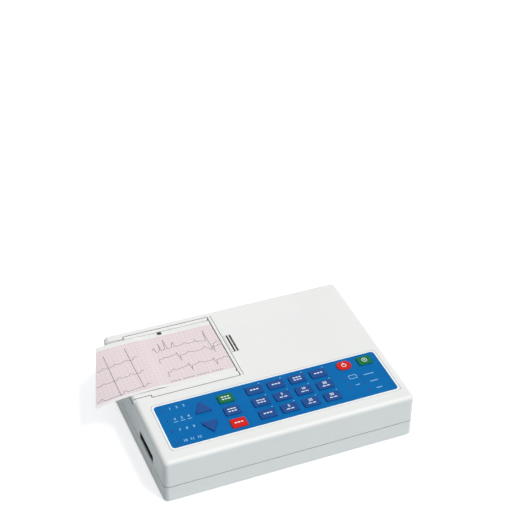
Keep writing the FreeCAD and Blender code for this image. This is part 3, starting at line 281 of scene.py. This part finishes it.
def paperPath():
    p = paper
    points = [(p["padEdge"], p["padTop"]),
              (p["platenX"] - p["leadIn"][0], p["platenN"] - p["platenWrap"] + p["leadIn"][1])]
    points += arc(p["platenX"], p["platenN"], p["platenWrap"],
                  range(-90, 1, p["platenTurn"]))  # round the lower right of the platen
    points += arc(p["slotX"] - p["slotRound"], p["flatTop"] - p["slotRound"], p["slotRound"],
                  range(0, 91, p["slotTurn"]))  # over the edge of the slot
    points += [(p["rampX"], p["flatTop"]),
               (p["rampX"] - p["rampRise"][0], p["flatTop"] + p["rampRise"][1]),
               (p["crestX"] + p["crestFall"][0], p["crestTop"] - p["crestFall"][1]),
               (p["crestX"], p["crestTop"]),
               ((p["crestX"] + p["edgeX"]) / 2, (p["crestTop"] + p["flatTop"]) / 2 + p["edgeArch"]),
               (p["edgeX"], p["flatTop"])]
    for i in range(1, p["droopSteps"] + 1):  # the free end droops more and more
        t = i / p["droopSteps"]
        points.append((p["edgeX"] + (p["endX"] - p["edgeX"]) * t,
                       p["flatTop"] + (p["endTop"] - p["flatTop"]) * t ** p["droop"]))
    fine = [points[0]]
    for a, b in zip(points, points[1:]):
        fine += between(a, b, math.dist(a, b) / p["step"])
    return [(x + leftFace, n) for x, n in fine]


path = paperPath()
reach = [0.0]  # distance along the strip at each point
for a, b in zip(path, path[1:]):
    reach.append(reach[-1] + math.dist(a, b))


def alongAt(fromLeft):  # distance along the strip where its upper run passes this place
    x = fromLeft + leftFace
    for i in range(len(path) - 1, 0, -1):
        if path[i][0] <= x <= path[i - 1][0]:
            part = (path[i - 1][0] - x) / (path[i - 1][0] - path[i][0])
            return reach[i - 1] + (reach[i] - reach[i - 1]) * part


def onPaper(along, across, lift):  # a place on the strip's outer face
    last = len(reach) - 1
    i = next(k for k in range(1, last + 1) if along <= reach[k] or k == last)
    part = (along - reach[i - 1]) / (reach[i] - reach[i - 1])
    (ax, an), (bx, bn) = path[i - 1], path[i]
    size = math.dist(path[i - 1], path[i])
    normal = ((bn - an) / size, -(bx - ax) / size)
    return onDeck(ax + (bx - ax) * part + normal[0] * lift, paper["front"] + across,
                  an + (bn - an) * part + normal[1] * lift)


def alongPath(x, n):  # distance along the strip at a point on it
    i = min(range(len(path)), key=lambda k: (path[k][0] - x) ** 2 + (path[k][1] - n) ** 2)
    j = min(i + 1, len(path) - 1)
    (ax, an), (bx, bn) = path[j - 1], path[j]
    return reach[j - 1] + ((x - ax) * (bx - ax) + (n - an) * (bn - an)) / math.dist(path[j - 1], path[j])


# Chart paper: the printed lines, a tenth of a millimetre in life, and the fibres are drawn coarser to show
chart = {"bare": "#efeeeb", "paper": "#efe6e7", "line": "#e4d2d4", "heavy": "#dfc9cd",
         "fineMm": 1.0, "boldMm": 5.0, "fineShare": 0.35, "boldShare": 0.12,
         "marginFront": 3.6, "marginBack": 6.8, "ior": 1.45, "rough": (0.5, 0.65),
         "fibreMm": 1.5, "fibreDetail": 4.0, "fibreBumpMm": 0.02, "fibreStrength": 0.3}


def chartPaper():  # coated thermal paper: soft sheen, white stock, a pink grid between bare margins
    material, tree = startMaterial("chart_paper_thermal")
    flat = addNode(tree, "ShaderNodeUVMap", {"uv_map": "flat"}).outputs[0]  # metres along and across
    parts = addNode(tree, "ShaderNodeSeparateXYZ", None, None, {"Vector": flat})
    across = parts.outputs["Y"]
    pastFront = addNode(tree, "ShaderNodeMath", {"operation": "GREATER_THAN"},
                        {1: chart["marginFront"] * mm}, {0: across})
    beforeBack = addNode(tree, "ShaderNodeMath", {"operation": "LESS_THAN"},
                         {1: (paper["width"] - chart["marginBack"]) * mm}, {0: across})
    printed = addNode(tree, "ShaderNodeMath", {"operation": "MULTIPLY"}, None,
                      {0: pastFront.outputs[0], 1: beforeBack.outputs[0]}).outputs[0]
    grid = {}  # for each weight of line, 1 on the lines and 0 between
    for weight in ("fine", "bold"):
        strokes = []
        for axis in "XY":
            turns = addNode(tree, "ShaderNodeMath", {"operation": "MULTIPLY"},
                            {1: perMetre / chart[weight + "Mm"]}, {0: parts.outputs[axis]})
            part = addNode(tree, "ShaderNodeMath", {"operation": "FRACT"}, None, {0: turns.outputs[0]})
            stroke = addNode(tree, "ShaderNodeMath", {"operation": "LESS_THAN"},
                             {1: chart[weight + "Share"]}, {0: part.outputs[0]})
            strokes.append(stroke.outputs[0])
        crossed = addNode(tree, "ShaderNodeMath", {"operation": "MAXIMUM"}, None,
                          {0: strokes[0], 1: strokes[1]})
        grid[weight] = addNode(tree, "ShaderNodeMath", {"operation": "MULTIPLY"}, None,
                               {0: crossed.outputs[0], 1: printed}).outputs[0]
    stock = addNode(tree, "ShaderNodeMix", colourMix,
                    {colourA: toLinear(chart["bare"]), colourB: toLinear(chart["paper"])},
                    {"Factor": printed})
    light = addNode(tree, "ShaderNodeMix", colourMix, {colourB: toLinear(chart["line"])},
                    {"Factor": grid["fine"], colourA: stock.outputs[mixed]})
    dark = addNode(tree, "ShaderNodeMix", colourMix, {colourB: toLinear(chart["heavy"])},
                   {"Factor": grid["bold"], colourA: light.outputs[mixed]})
    fibre = addNode(tree, "ShaderNodeTexNoise", None,
                    {"Scale": perMetre / chart["fibreMm"], "Detail": chart["fibreDetail"]},
                    {"Vector": flat})
    bump = addNode(tree, "ShaderNodeBump", None,
                   {"Strength": chart["fibreStrength"], "Distance": chart["fibreBumpMm"] * mm},
                   {"Height": fibre.outputs["Fac"]})
    low, high = chart["rough"]
    gloss = addNode(tree, "ShaderNodeMapRange", None, {"To Min": low, "To Max": high},
                    {"Value": fibre.outputs["Fac"]})
    shader = addNode(tree, "ShaderNodeBsdfPrincipled", None, {"IOR": chart["ior"]},
                     {"Base Color": dark.outputs[mixed], "Roughness": gloss.outputs[0],
                      "Normal": bump.outputs[0]})
    addNode(tree, "ShaderNodeOutputMaterial", links={"Surface": shader.outputs[0]})
    return material


made = {}


def finish(name):  # each finish is made once
    if name not in made:
        build = metal if name in metals else moulded
        made[name] = chartPaper() if name == "chart_paper_thermal" else build(name)
    return made[name]


# CAD nodes and the finish that each one gets
nodeFinish = {
    "housing_abs_white": ["bottom_shell", "top_cover", "battery_door"],
    "lid_abs_white": ["paper_lid"],
    "latch_abs_white": ["lid_latch"],
    "carrier_polycarbonate_white": ["keypad_plate"],
    "foil_polyester_blue": ["keypad_overlay"],
    "key_silicone_blue": ["key_up", "key_down"],
    "key_silicone_navy": ["key_manual"] + [f"key_{i}" for i in range(1, 13)],
    "key_silicone_red": ["key_stop", "key_off"],
    "key_silicone_green": ["key_start", "key_on"],
    "lamp_acrylic_blue": ["indicator_leds"],
    "rubber_black": ["rubber_feet", "platen_roller"],
    "connector_nylon_black": ["patient_socket", "mains_inlet"],
    "tray_abs_grey": ["paper_tray"],
    "board_soldermask_green": ["main_board", "input_board", "keypad_board"],
    "gear_acetal_white": ["platen_gear", "motor_pinion", "platen_bushes"],
    "battery_sleeve_grey": ["battery_pack"],
    "steel_zinc_plated": ["housing_screws", "hinge_pins", "platen_shaft", "motor_shaft", "stepper_motor",
                          "head_spring", "switch_domes", "mains_transformer", "serial_socket"],
    "brass_turned": ["patient_pins", "mains_pins", "earth_stud"],
    "head_alloy_ground": ["print_head"],
    "chart_paper_thermal": ["paper_strip", "paper_pad"],
}
for finishName, nodeNames in nodeFinish.items():
    for nodeName in nodeNames:
        shape = frame["nodes"][nodeName]
        shape.data.materials.clear()
        shape.data.materials.append(finish(finishName))
print("finishes on", sum(map(len, nodeFinish.values())), "nodes")


def deselect():
    if bpy.context.object and bpy.context.object.mode != "OBJECT":
        bpy.ops.object.mode_set(mode="OBJECT")
    bpy.ops.object.select_all(action="DESELECT")


def finishPiece(piece, name, material, body):
    piece.name = piece.data.name = name
    piece.data.materials.clear()
    piece.data.materials.append(material)
    if body:  # pieces given no body stay unattached
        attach(piece, body)
    return piece


def settle(piece, matrix):  # puts the piece's place into its mesh
    bpy.context.view_layer.update()
    piece.data.transform(matrix @ piece.matrix_world)
    piece.matrix_world = Matrix.Identity(4)
    return piece


def newBox(size):  # a box round the origin, by its sides in millimetres
    deselect()
    bpy.ops.mesh.primitive_cube_add(size=1)
    piece = bpy.context.object
    piece.data.transform(Matrix.Diagonal([c * mm for c in size] + [1]))
    return piece


def thicken(piece, thick, offset):  # gives a surface a wall of this many millimetres
    wall = piece.modifiers.new("wall", "SOLIDIFY")
    wall.thickness, wall.offset = thick * mm, offset
    bpy.context.view_layer.objects.active = piece
    bpy.ops.object.modifier_apply(modifier=wall.name)


def joinPieces(pieces):
    deselect()
    for piece in pieces:
        piece.select_set(True)
    bpy.context.view_layer.objects.active = pieces[0]
    if len(pieces) > 1:
        bpy.ops.object.join()
    return pieces[0]


def newFlatMap(piece, place):  # one UV map, in metres along and across the paper
    while piece.data.uv_layers:
        piece.data.uv_layers.remove(piece.data.uv_layers[0])
    layer = piece.data.uv_layers.new(name="flat")
    for loop in piece.data.loops:
        layer.data[loop.index].uv = place(piece.data.vertices[loop.vertex_index].co)


def makeStrip():  # a plane whose leading edge is pulled out along the path, then thickened
    deselect()
    bpy.ops.mesh.primitive_plane_add(size=1)
    piece = bpy.context.object
    first, second = path[0], path[1]
    for vertex in piece.data.vertices:
        x, n = second if vertex.co.x > 0 else first
        vertex.co = (x * mm, (paper["front"] + (paper["width"] if vertex.co.y > 0 else 0)) * mm, n * mm)
    bpy.ops.object.mode_set(mode="EDIT")
    shape = bmesh.from_edit_mesh(piece.data)
    for edge in shape.edges:
        edge.select_set(False)
    shape.select_flush(False)
    for edge in shape.edges:
        if all(abs(v.co.x - second[0] * mm) < tiny for v in edge.verts):
            edge.select_set(True)
    bmesh.update_edit_mesh(piece.data)
    for a, b in zip(path[1:], path[2:]):
        move = ((b[0] - a[0]) * mm, 0, (b[1] - a[1]) * mm)
        bpy.ops.mesh.extrude_region_move(TRANSFORM_OT_translate={"value": move})
    bpy.ops.mesh.select_all(action="SELECT")
    bpy.ops.mesh.normals_make_consistent(inside=False)
    slant = paper["endBackX"] - paper["endX"]  # the free end is torn off at a slant
    bpy.ops.mesh.bisect(plane_co=((paper["endX"] + leftFace) * mm, paper["front"] * mm, 0),
                        plane_no=Vector((-paper["width"], slant, 0)).normalized(), clear_outer=True)
    bpy.ops.object.mode_set(mode="OBJECT")
    newFlatMap(piece, lambda co: (alongPath(co.x / mm, co.z / mm) * mm, co.y - paper["front"] * mm))
    topFace = max(piece.data.polygons, key=lambda f: f.center.z)
    if topFace.normal.z < 0:  # the outer face looks up
        piece.data.flip_normals()
    thicken(piece, paper["thick"], -1)
    return settle(piece, deck)


strip = finishPiece(makeStrip(), "chart_strip", finish("chart_paper_thermal"), None)
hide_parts("paper_strip")
print("paper strip", len(strip.data.vertices), "points")

# Traces: ribbons of ink just above the paper, each a list of places from the left face and the front edge
traces = {"width": 0.5, "tallWidth": 0.6, "lift": 0.04, "step": 0.8, "rows": [
    [(46, 62), (48, 66), (49, 58), (52, 57.7), (54, 60), (55, 71.6), (55.8, 58.5), (60, 59.5),
     (62.2, 76), (63, 59), (68, 59.6), (71.7, 69), (72.4, 59.5), (78, 60), (85.7, 62.5), (88, 60),
     (96.7, 60.3), (97.2, 66), (98, 60), (106, 58), (109, 57), (111, 76), (111.6, 49.7), (112.9, 35),
     (114.5, 49), (118, 51), (121, 53), (123, 51)],
    [(47.5, 38), (48, 45.4), (52, 44.8), (55, 47), (58, 45.5), (69.6, 47.6), (70.6, 50), (72.1, 35),
     (73, 44), (80, 44), (84, 47.5), (88, 44.8), (94, 44.4), (101, 45.5), (104, 49), (107, 45.5),
     (110, 40), (112, 45), (118, 45), (121, 47.5), (123, 45)],
    [(50.6, 14), (51, 21.7), (55, 22), (58, 25), (61, 22.5), (70, 24), (76.3, 25.7), (77.4, 29),
     (78.8, 15.8), (80, 23.6), (86, 24), (90, 27), (94, 24), (105.6, 24), (106.6, 28), (108, 14.5),
     (109.2, 22.5), (116, 23), (119, 25.5), (123, 23)],
    [(-23, 51.5), (-18, 52), (-15, 54.5), (-12, 52), (-6, 52.5), (-3, 52.6), (-1.2, 56.4), (1, 53.5),
     (8, 54), (12, 57), (14, 54.6), (20, 54.5), (23, 58.5), (26.6, 57.7)],
    [(-30, 28.7), (-24, 29), (-22, 31.5), (-19, 29.4), (-6, 29.5), (-3, 33.5), (0, 30.5), (8, 31),
     (11, 33.6), (14, 31.4), (21, 31), (24, 34.5), (26.6, 32.8)],
    [(-36, 7.4), (-33, 7), (-30, 10), (-27, 5.7), (-20, 6), (-6, 6.4), (-3, 10.8), (0, 7.4), (8, 8),
     (17.8, 9), (21, 8.5), (24, 12.6), (27.3, 10.4)]],
    "tall": [[(-9.2, 73.2), (-9.2, 4.4)], [(16.9, 76.3), (18, 7.3)]]}


def ribbon(points, width):  # a flat line of ink, as corner points and faces
    corners, faces = [], []
    for i, (s, w) in enumerate(points):
        a, b = points[max(i - 1, 0)], points[min(i + 1, len(points) - 1)]
        ds, dw = b[0] - a[0], b[1] - a[1]
        size = math.hypot(ds, dw) or 1
        for side in (-0.5, 0.5):
            offset = width * side
            corners.append(onPaper(s - dw / size * offset, w + ds / size * offset, traces["lift"]))
        if i:
            k = 2 * i
            faces.append((k - 2, k, k + 1, k - 1))
    return corners, faces


def inkPiece(name, lines, finishName):  # lines are lists of points with a width
    corners, faces = [], []  # laid point by point, because the ink follows the bent strip
    for points, width in lines:
        more, moreFaces = ribbon(points, width)
        faces += [[k + len(corners) for k in face] for face in moreFaces]
        corners += more
    mesh = bpy.data.meshes.new(name)
    mesh.from_pydata(corners, [], faces)
    piece = bpy.data.objects.new(name, mesh)
    scene.collection.objects.link(piece)
    up = deck.to_3x3() @ Vector((0, 0, 1))
    for face in mesh.polygons:  # every stroke looks up
        if face.normal.dot(up) < 0:
            face.flip()
    return finishPiece(piece, name, finish(finishName), None)


def drawn(points):  # a trace in short steps along the strip
    flat = [(alongAt(x), w) for x, w in points]
    line = [flat[0]]
    for a, b in zip(flat, flat[1:]):
        line += between(a, b, abs(b[0] - a[0]) / traces["step"])
    return line


def traceLines():
    low = [(drawn(row), traces["width"]) for row in traces["rows"]]
    return low + [(drawn(row), traces["tallWidth"]) for row in traces["tall"]]


def inkBar(start, bar):  # a straight bar of ink along the strip, as points with a width
    row = [(start + bar["long"] * i / bar["steps"], bar["across"]) for i in range(bar["steps"] + 1)]
    return row, bar["wide"]


# Short ticks along the front margin, in groups with a gap between
marks = {"from": 113.0, "to": 48.5, "pitch": 2.4, "gapEvery": 7,
         "across": 6.4, "long": 1.5, "steps": 2, "wide": 0.9}


def marginMarks():
    start, end = alongAt(marks["from"]), alongAt(marks["to"])
    count = math.ceil((end - start) / marks["pitch"])
    return [inkBar(start + marks["pitch"] * i, marks) for i in range(count) if i % marks["gapEvery"]]


# The black block at the back margin
cue = {"x": 65.4, "across": 87.7, "long": 5.2, "steps": 4, "wide": 4.4}

inks = [inkPiece("trace_lines", traceLines(), "ink_thermal_grey"),
        inkPiece("margin_marks", marginMarks(), "ink_thermal_grey"),
        inkPiece("cue_mark", [inkBar(alongAt(cue["x"]), cue)], "ink_cue_black")]
for piece in [strip] + inks:
    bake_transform(piece)
print("traces", sum(len(piece.data.polygons) for piece in inks), "faces")

# The folded stack in the tray: leaves that shift a little from one to the next
stack = {"leaves": 12, "front": 109.6, "wide": 89.6, "bottom": -28.48, "top": -16.5,
         "shift": 0.5, "shiftTurn": 2.4, "round": 0.25, "roundSteps": 2}


def makeStack():
    low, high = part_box("paper_pad")
    x0, x1 = low[0] / mm, high[0] / mm
    tall = (stack["top"] - stack["bottom"]) / stack["leaves"]
    leaves = []
    for i in range(stack["leaves"]):
        leaf = newBox((x1 - x0 - stack["shift"], stack["wide"], tall))
        slip = stack["shift"] * (1 + math.sin(i * stack["shiftTurn"])) / 2
        middle = ((x0 + x1 - stack["shift"]) / 2 + slip, stack["front"] + stack["wide"] / 2,
                  stack["bottom"] + tall * (i + 0.5))
        leaf.data.transform(Matrix.Translation([c * mm for c in middle]))
        edge = leaf.modifiers.new("fold", "BEVEL")
        edge.width, edge.segments = stack["round"] * mm, stack["roundSteps"]
        bpy.ops.object.modifier_apply(modifier=edge.name)
        leaves.append(leaf)
    whole = joinPieces(leaves)
    newFlatMap(whole, lambda co: (co.x, co.y - stack["front"] * mm))
    return settle(whole, deck)


folded = finishPiece(makeStack(), "folded_paper", finish("chart_paper_thermal"), "base")
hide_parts("paper_pad")
print("folded stack", len(folded.data.vertices), "points")


def roundEdges(piece, axis, corner, steps):  # rounds the edges that run along one axis
    bpy.ops.object.mode_set(mode="EDIT")
    shape = bmesh.from_edit_mesh(piece.data)
    for edge in shape.edges:
        first, second = edge.verts
        edge.select_set(abs(first.co[axis] - second.co[axis]) > tiny)
    bmesh.update_edit_mesh(piece.data)
    bpy.ops.mesh.bevel(offset=corner * mm, segments=steps, affect="EDGES")
    bpy.ops.object.mode_set(mode="OBJECT")
    return piece


def roundBar(long, wide, thick, corner, steps):  # a flat bar with rounded corners, at the origin
    return roundEdges(newBox((long, wide, thick)), 2, corner, steps)


def flatRing(radius, wide, thick, sides):  # a ring, at the origin
    deselect()
    bpy.ops.mesh.primitive_circle_add(vertices=sides, radius=radius * mm, fill_type="NGON")
    piece = bpy.context.object
    bpy.ops.object.mode_set(mode="EDIT")
    bpy.ops.mesh.select_all(action="SELECT")
    bpy.ops.mesh.inset(thickness=wide * mm)
    bpy.ops.mesh.delete(type="FACE")
    bpy.ops.object.mode_set(mode="OBJECT")
    thicken(piece, thick, 0)
    return piece


# Print on the keys and the foil: plain numbers, bars and rings, raised by the thickness of the ink
legend = {"keyTop": 1.4, "foilTop": 0.0, "lift": 0.015, "thick": 0.02, "bold": 0.1,
          "barEnd": 0.45, "barSteps": 3, "ringSides": 32}


def onLegend(x, v, n):  # where a printed mark lies
    return deck @ Matrix.Translation((x * mm, v * mm, (n + legend["lift"]) * mm))


def printedNumber(text, x, v, n, size):
    deselect()
    bpy.ops.object.text_add()
    piece = bpy.context.object
    piece.data.body, piece.data.size = text, size * mm
    piece.data.align_x, piece.data.align_y = "CENTER", "CENTER"
    piece.data.extrude, piece.data.offset = legend["thick"] * mm / 2, legend["bold"] * mm
    bpy.ops.object.convert(target="MESH")
    return settle(bpy.context.object, onLegend(x, v, n))


def printedBar(x, v, n, long, wide):  # a short stroke with rounded ends
    bar = roundBar(long, wide, legend["thick"], min(long, wide) * legend["barEnd"], legend["barSteps"])
    return settle(bar, onLegend(x, v, n))


def printedRing(x, v, n, radius, wide):
    return settle(flatRing(radius, wide, legend["thick"], legend["ringSides"]), onLegend(x, v, n))


# Marks by their offset from the key's middle: bars have a length and a width, rings a radius and a width
keyPrint = {"oneLine": [("bar", -3.6, 0, 2.6, 1.5), ("bar", 0, 0, 2.8, 1.5), ("bar", 3.6, 0, 2.6, 1.5)],
            "twoLines": [("bar", dx, dv, 2.6, 1.4) for dv in (1.8, -1.8) for dx in (-3.5, 0, 3.5)],
            "ringAndBar": [("ring", 0, -0.3, 2.9, 0.8), ("bar", 0, 2.3, 0.9, 3.2)],
            "twoRings": [("ring", 0, 0, 3.2, 0.75), ("ring", 0, 0, 0.9, 0.85)],
            "number": (0, 2.2, 5.0),  # offset and size
            "underNumber": [("bar", -2.4, -2.4, 3.8, 1.2), ("bar", 2.4, -2.4, 3.8, 1.2)],
            "onKey": {"key_1": "oneLine", "key_2": "twoLines", "key_3": "oneLine",
                      "key_4": "5", "key_5": "5", "key_6": "oneLine",
                      "key_7": "25", "key_8": "10", "key_9": "twoLines",
                      "key_10": "50", "key_11": "20", "key_12": "oneLine",
                      "key_start": "twoLines", "key_manual": "twoLines", "key_stop": "oneLine",
                      "key_off": "ringAndBar", "key_on": "twoRings"}}


def makeLegend(keyName, mark):
    x, v = deckPlace(keyName)
    top = legend["keyTop"]
    pieces = []
    if mark.isdigit():  # a number over two bars
        dx, dv, size = keyPrint["number"]
        pieces.append(printedNumber(mark, x + dx, v + dv, top, size))
        mark = "underNumber"
    for kind, dx, dv, long, wide in keyPrint[mark]:
        stroke = printedRing if kind == "ring" else printedBar
        pieces.append(stroke(x + dx, v + dv, top, long, wide))
    finishPiece(joinPieces(pieces), f"legend_{keyName}", finish("ink_white"), keyName)


for keyName, mark in keyPrint["onKey"].items():
    makeLegend(keyName, mark)
print("key legends", len(keyPrint["onKey"]))

# Pale blue print on the foil: three columns of numbers by the left lamps, strokes by the right lamps
foilPrint = {"columns": (33.0, 40.9, 48.8), "rows": (75.1, 58.3, 41.5, 24.7), "size": 4.8,
             "underRow": 1, "underDrop": 4.2, "under": (5.0, 0.8),
             "strokes": [(262.2, 27.0, 7.0, 1.0), (261.6, 38.9, 9.5, 1.0), (260.6, 50.8, 12.0, 1.0),
                         (241.6, 39.0, 5.0, 0.9)],
             "outline": (241.6, 52.4, 9.0, 5.4, 0.7), "corner": (8.6, 8.6, 1.5, 0.9), "gridKeys": 12}


def makeFoilPrint():
    top = legend["foilTop"]
    pieces = []
    for r, v in enumerate(foilPrint["rows"]):
        for c, x in enumerate(foilPrint["columns"]):
            number = str(len(foilPrint["columns"]) * r + c + 1)
            pieces.append(printedNumber(number, x + leftFace, v, top, foilPrint["size"]))
            if r == foilPrint["underRow"]:  # this row has a line under each number
                under = v - foilPrint["underDrop"]
                pieces.append(printedBar(x + leftFace, under, top, *foilPrint["under"]))
    for x, v, long, wide in foilPrint["strokes"]:
        pieces.append(printedBar(x + leftFace, v, top, long, wide))
    x, v, long, tall, wide = foilPrint["outline"]  # a small open box beside the upper lamp of the pair
    for side in (-0.5, 0.5):
        pieces.append(printedBar(x + leftFace, v + side * tall, top, long, wide))
        pieces.append(printedBar(x + leftFace + side * long, v, top, wide, tall))
    across, up, long, wide = foilPrint["corner"]
    for i in range(foilPrint["gridKeys"]):  # one small tick above the right corner of each grid key
        x, v = deckPlace(f"key_{i + 1}")
        pieces.append(printedBar(x + across, v + up, top, long, wide))
    finishPiece(joinPieces(pieces), "foil_print", finish("ink_pale_blue"), "base")
    return len(pieces)


print("foil print", makeFoilPrint(), "marks")

# The connector in the back: a black insert with nine contacts, and two hexagon nuts beside it
serial = {"insert": (14.6, 6.2), "insertThick": 0.4, "corner": 1.8, "cornerSteps": 3,
          "counts": (5, 4), "pitch": 2.6, "row": 2.8,
          "contact": 0.75, "contactWall": 0.3, "contactThick": 0.1, "contactSides": 12,
          "nutRadius": 2.8, "nutWall": 1.3, "nutLong": 3.0, "nutSpread": 12.2, "nutSides": 6}


def makeSerial():
    low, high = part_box("serial_socket")
    end = Matrix.Translation(((low[0] + high[0]) / 2, high[1], (low[2] + high[2]) / 2))
    outward = end @ Matrix.Rotation(math.radians(-90), 4, "X")  # local z points out of the back
    block = roundBar(*serial["insert"], serial["insertThick"], serial["corner"], serial["cornerSteps"])
    insert = settle(block, outward)
    finishPiece(insert, "serial_insert", finish("connector_nylon_black"), "base")
    contacts = []
    for count, side in zip(serial["counts"], (-0.5, 0.5)):
        for i in range(count):
            spot = ((i - (count - 1) / 2) * serial["pitch"] * mm, side * serial["row"] * mm,
                    serial["insertThick"] * mm / 2)
            ring = flatRing(serial["contact"], serial["contactWall"], serial["contactThick"],
                            serial["contactSides"])
            contacts.append(settle(ring, outward @ Matrix.Translation(spot)))
    finishPiece(joinPieces(contacts), "serial_contacts", finish("brass_turned"), "base")
    nuts = []
    for side in (-1, 1):
        spot = (side * serial["nutSpread"] * mm, 0, caseHigh[1] - high[1] + serial["nutLong"] * mm / 2)
        nut = flatRing(serial["nutRadius"], serial["nutWall"], serial["nutLong"], serial["nutSides"])
        nuts.append(settle(nut, outward @ Matrix.Translation(spot)))
    finishPiece(joinPieces(nuts), "serial_nuts", finish("steel_zinc_plated"), "base")


makeSerial()

# A black lining on the walls of the slot in the left side: painted shade, a dark sheet standing in for the
# shadow inside the slot
lip = {"wide": 45.0, "tall": 11.3, "corner": 1.6, "cornerSteps": 4, "clear": 0.06,
       "wall": 0.4, "deep": 4.85, "inset": 0.9}


def makeSlotShadeLining():
    low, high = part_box("patient_socket")
    piece = newBox((lip["deep"], lip["wide"] - 2 * lip["clear"], lip["tall"] - 2 * lip["clear"]))
    bpy.ops.object.mode_set(mode="EDIT")
    shape = bmesh.from_edit_mesh(piece.data)
    for face in shape.faces:  # both ends are open
        face.select_set(abs(face.normal.x) > abs(face.normal.y) + abs(face.normal.z))
    bmesh.update_edit_mesh(piece.data)
    bpy.ops.mesh.delete(type="ONLY_FACE")
    roundEdges(piece, 0, lip["corner"] - lip["clear"], lip["cornerSteps"])
    thicken(piece, lip["wall"], -1)
    fromFace = (lip["inset"] + lip["deep"] / 2) * mm
    middle = (caseLow[0] + fromFace, (low[1] + high[1]) / 2, (low[2] + high[2]) / 2)
    return settle(piece, Matrix.Translation(middle))


finishPiece(makeSlotShadeLining(), "slot_shade_lining", finish("rubber_black"), "base")
print("connector details made")

# Studio: pale floor, a soft key from the right front, a light from behind, a low fill, a cool even sky
studio = {"white": "#ffffff", "floor": "#fbfbfb", "floorDeep": "#96a8af", "floorSize": 12, "glow": 0.60,
          "sky": 0.30, "skyColour": "#f0f5fa", "backdrop": 1.0,
          "lamps": {"studio_key": {"power": 2.2, "size": 20.0, "from": (0.34, -0.42, 0.84)},
                    "studio_back": {"power": 0.8, "size": 40.0, "from": (0.12, 0.95, 0.28)},
                    "studio_fill": {"power": 0.40, "size": 40.0, "from": (0.45, -0.85, 0.28)}}}


def seenRays(tree):  # 1 for what the eye sees: straight on, mirrored or through glass
    rays = addNode(tree, "ShaderNodeLightPath")
    seen = addNode(tree, "ShaderNodeMath", {"operation": "MAXIMUM"}, None,
                   {0: rays.outputs["Is Camera Ray"], 1: rays.outputs["Is Glossy Ray"]})
    return addNode(tree, "ShaderNodeMath", {"operation": "MAXIMUM"}, None,
                   {0: seen.outputs[0], 1: rays.outputs["Is Transmission Ray"]}).outputs[0]


def makeFloor():  # pale to look at, deeper in the light that it throws back on the object
    deselect()
    bpy.ops.mesh.primitive_plane_add(size=studio["floorSize"])
    floor = bpy.context.object
    material, tree = startMaterial("floor_paper_white")
    deep = addNode(tree, "ShaderNodeBsdfDiffuse", None, {"Color": toLinear(studio["floorDeep"])})
    pale = addNode(tree, "ShaderNodeBsdfDiffuse", None, {"Color": toLinear(studio["floor"])})
    glow = addNode(tree, "ShaderNodeEmission", None,
                   {"Color": toLinear(studio["white"]), "Strength": studio["glow"]})
    lit = addNode(tree, "ShaderNodeAddShader", None, None, {0: pale.outputs[0], 1: glow.outputs[0]})
    mix = addNode(tree, "ShaderNodeMixShader", None, None,
                  {0: seenRays(tree), 1: deep.outputs[0], 2: lit.outputs[0]})
    addNode(tree, "ShaderNodeOutputMaterial", links={"Surface": mix.outputs[0]})
    floor.name = "studio_floor"
    floor.data.materials.append(material)


def makeLights():
    world = bpy.data.worlds.new("studio_sky")
    scene.world = world
    world.use_nodes = True
    tree = world.node_tree
    tree.nodes.clear()
    sky = addNode(tree, "ShaderNodeBackground", None,
                  {"Color": toLinear(studio["skyColour"]), "Strength": studio["sky"]})
    white = addNode(tree, "ShaderNodeBackground", None,
                    {"Color": toLinear(studio["white"]), "Strength": studio["backdrop"]})
    mix = addNode(tree, "ShaderNodeMixShader", None, None,
                  {0: seenRays(tree), 1: sky.outputs[0], 2: white.outputs[0]})
    addNode(tree, "ShaderNodeOutputWorld", links={"Surface": mix.outputs[0]})
    for name, lamp in studio["lamps"].items():
        deselect()
        bpy.ops.object.light_add(type="SUN")
        sun = bpy.context.object
        sun.name = name
        sun.data.energy, sun.data.angle = lamp["power"], math.radians(lamp["size"])
        sun.rotation_euler = Vector(lamp["from"]).to_track_quat("Z", "Y").to_euler()


# The photograph's viewpoint: metres, degrees, and a lens on a full frame
view = {"location": (-0.44115, -1.0544, 0.9912), "turn": (55.696, -0.500, -22.316),
        "lens": 91.55, "sensor": 36.0, "near": 0.01}


def makeCamera():
    deselect()
    bpy.ops.object.camera_add(location=view["location"], rotation=[math.radians(a) for a in view["turn"]])
    camera = bpy.context.object
    camera.data.lens, camera.data.sensor_width = view["lens"], view["sensor"]
    camera.data.clip_start = view["near"]
    scene.camera = camera


makeFloor()
makeLights()
makeCamera()
print("studio ready")
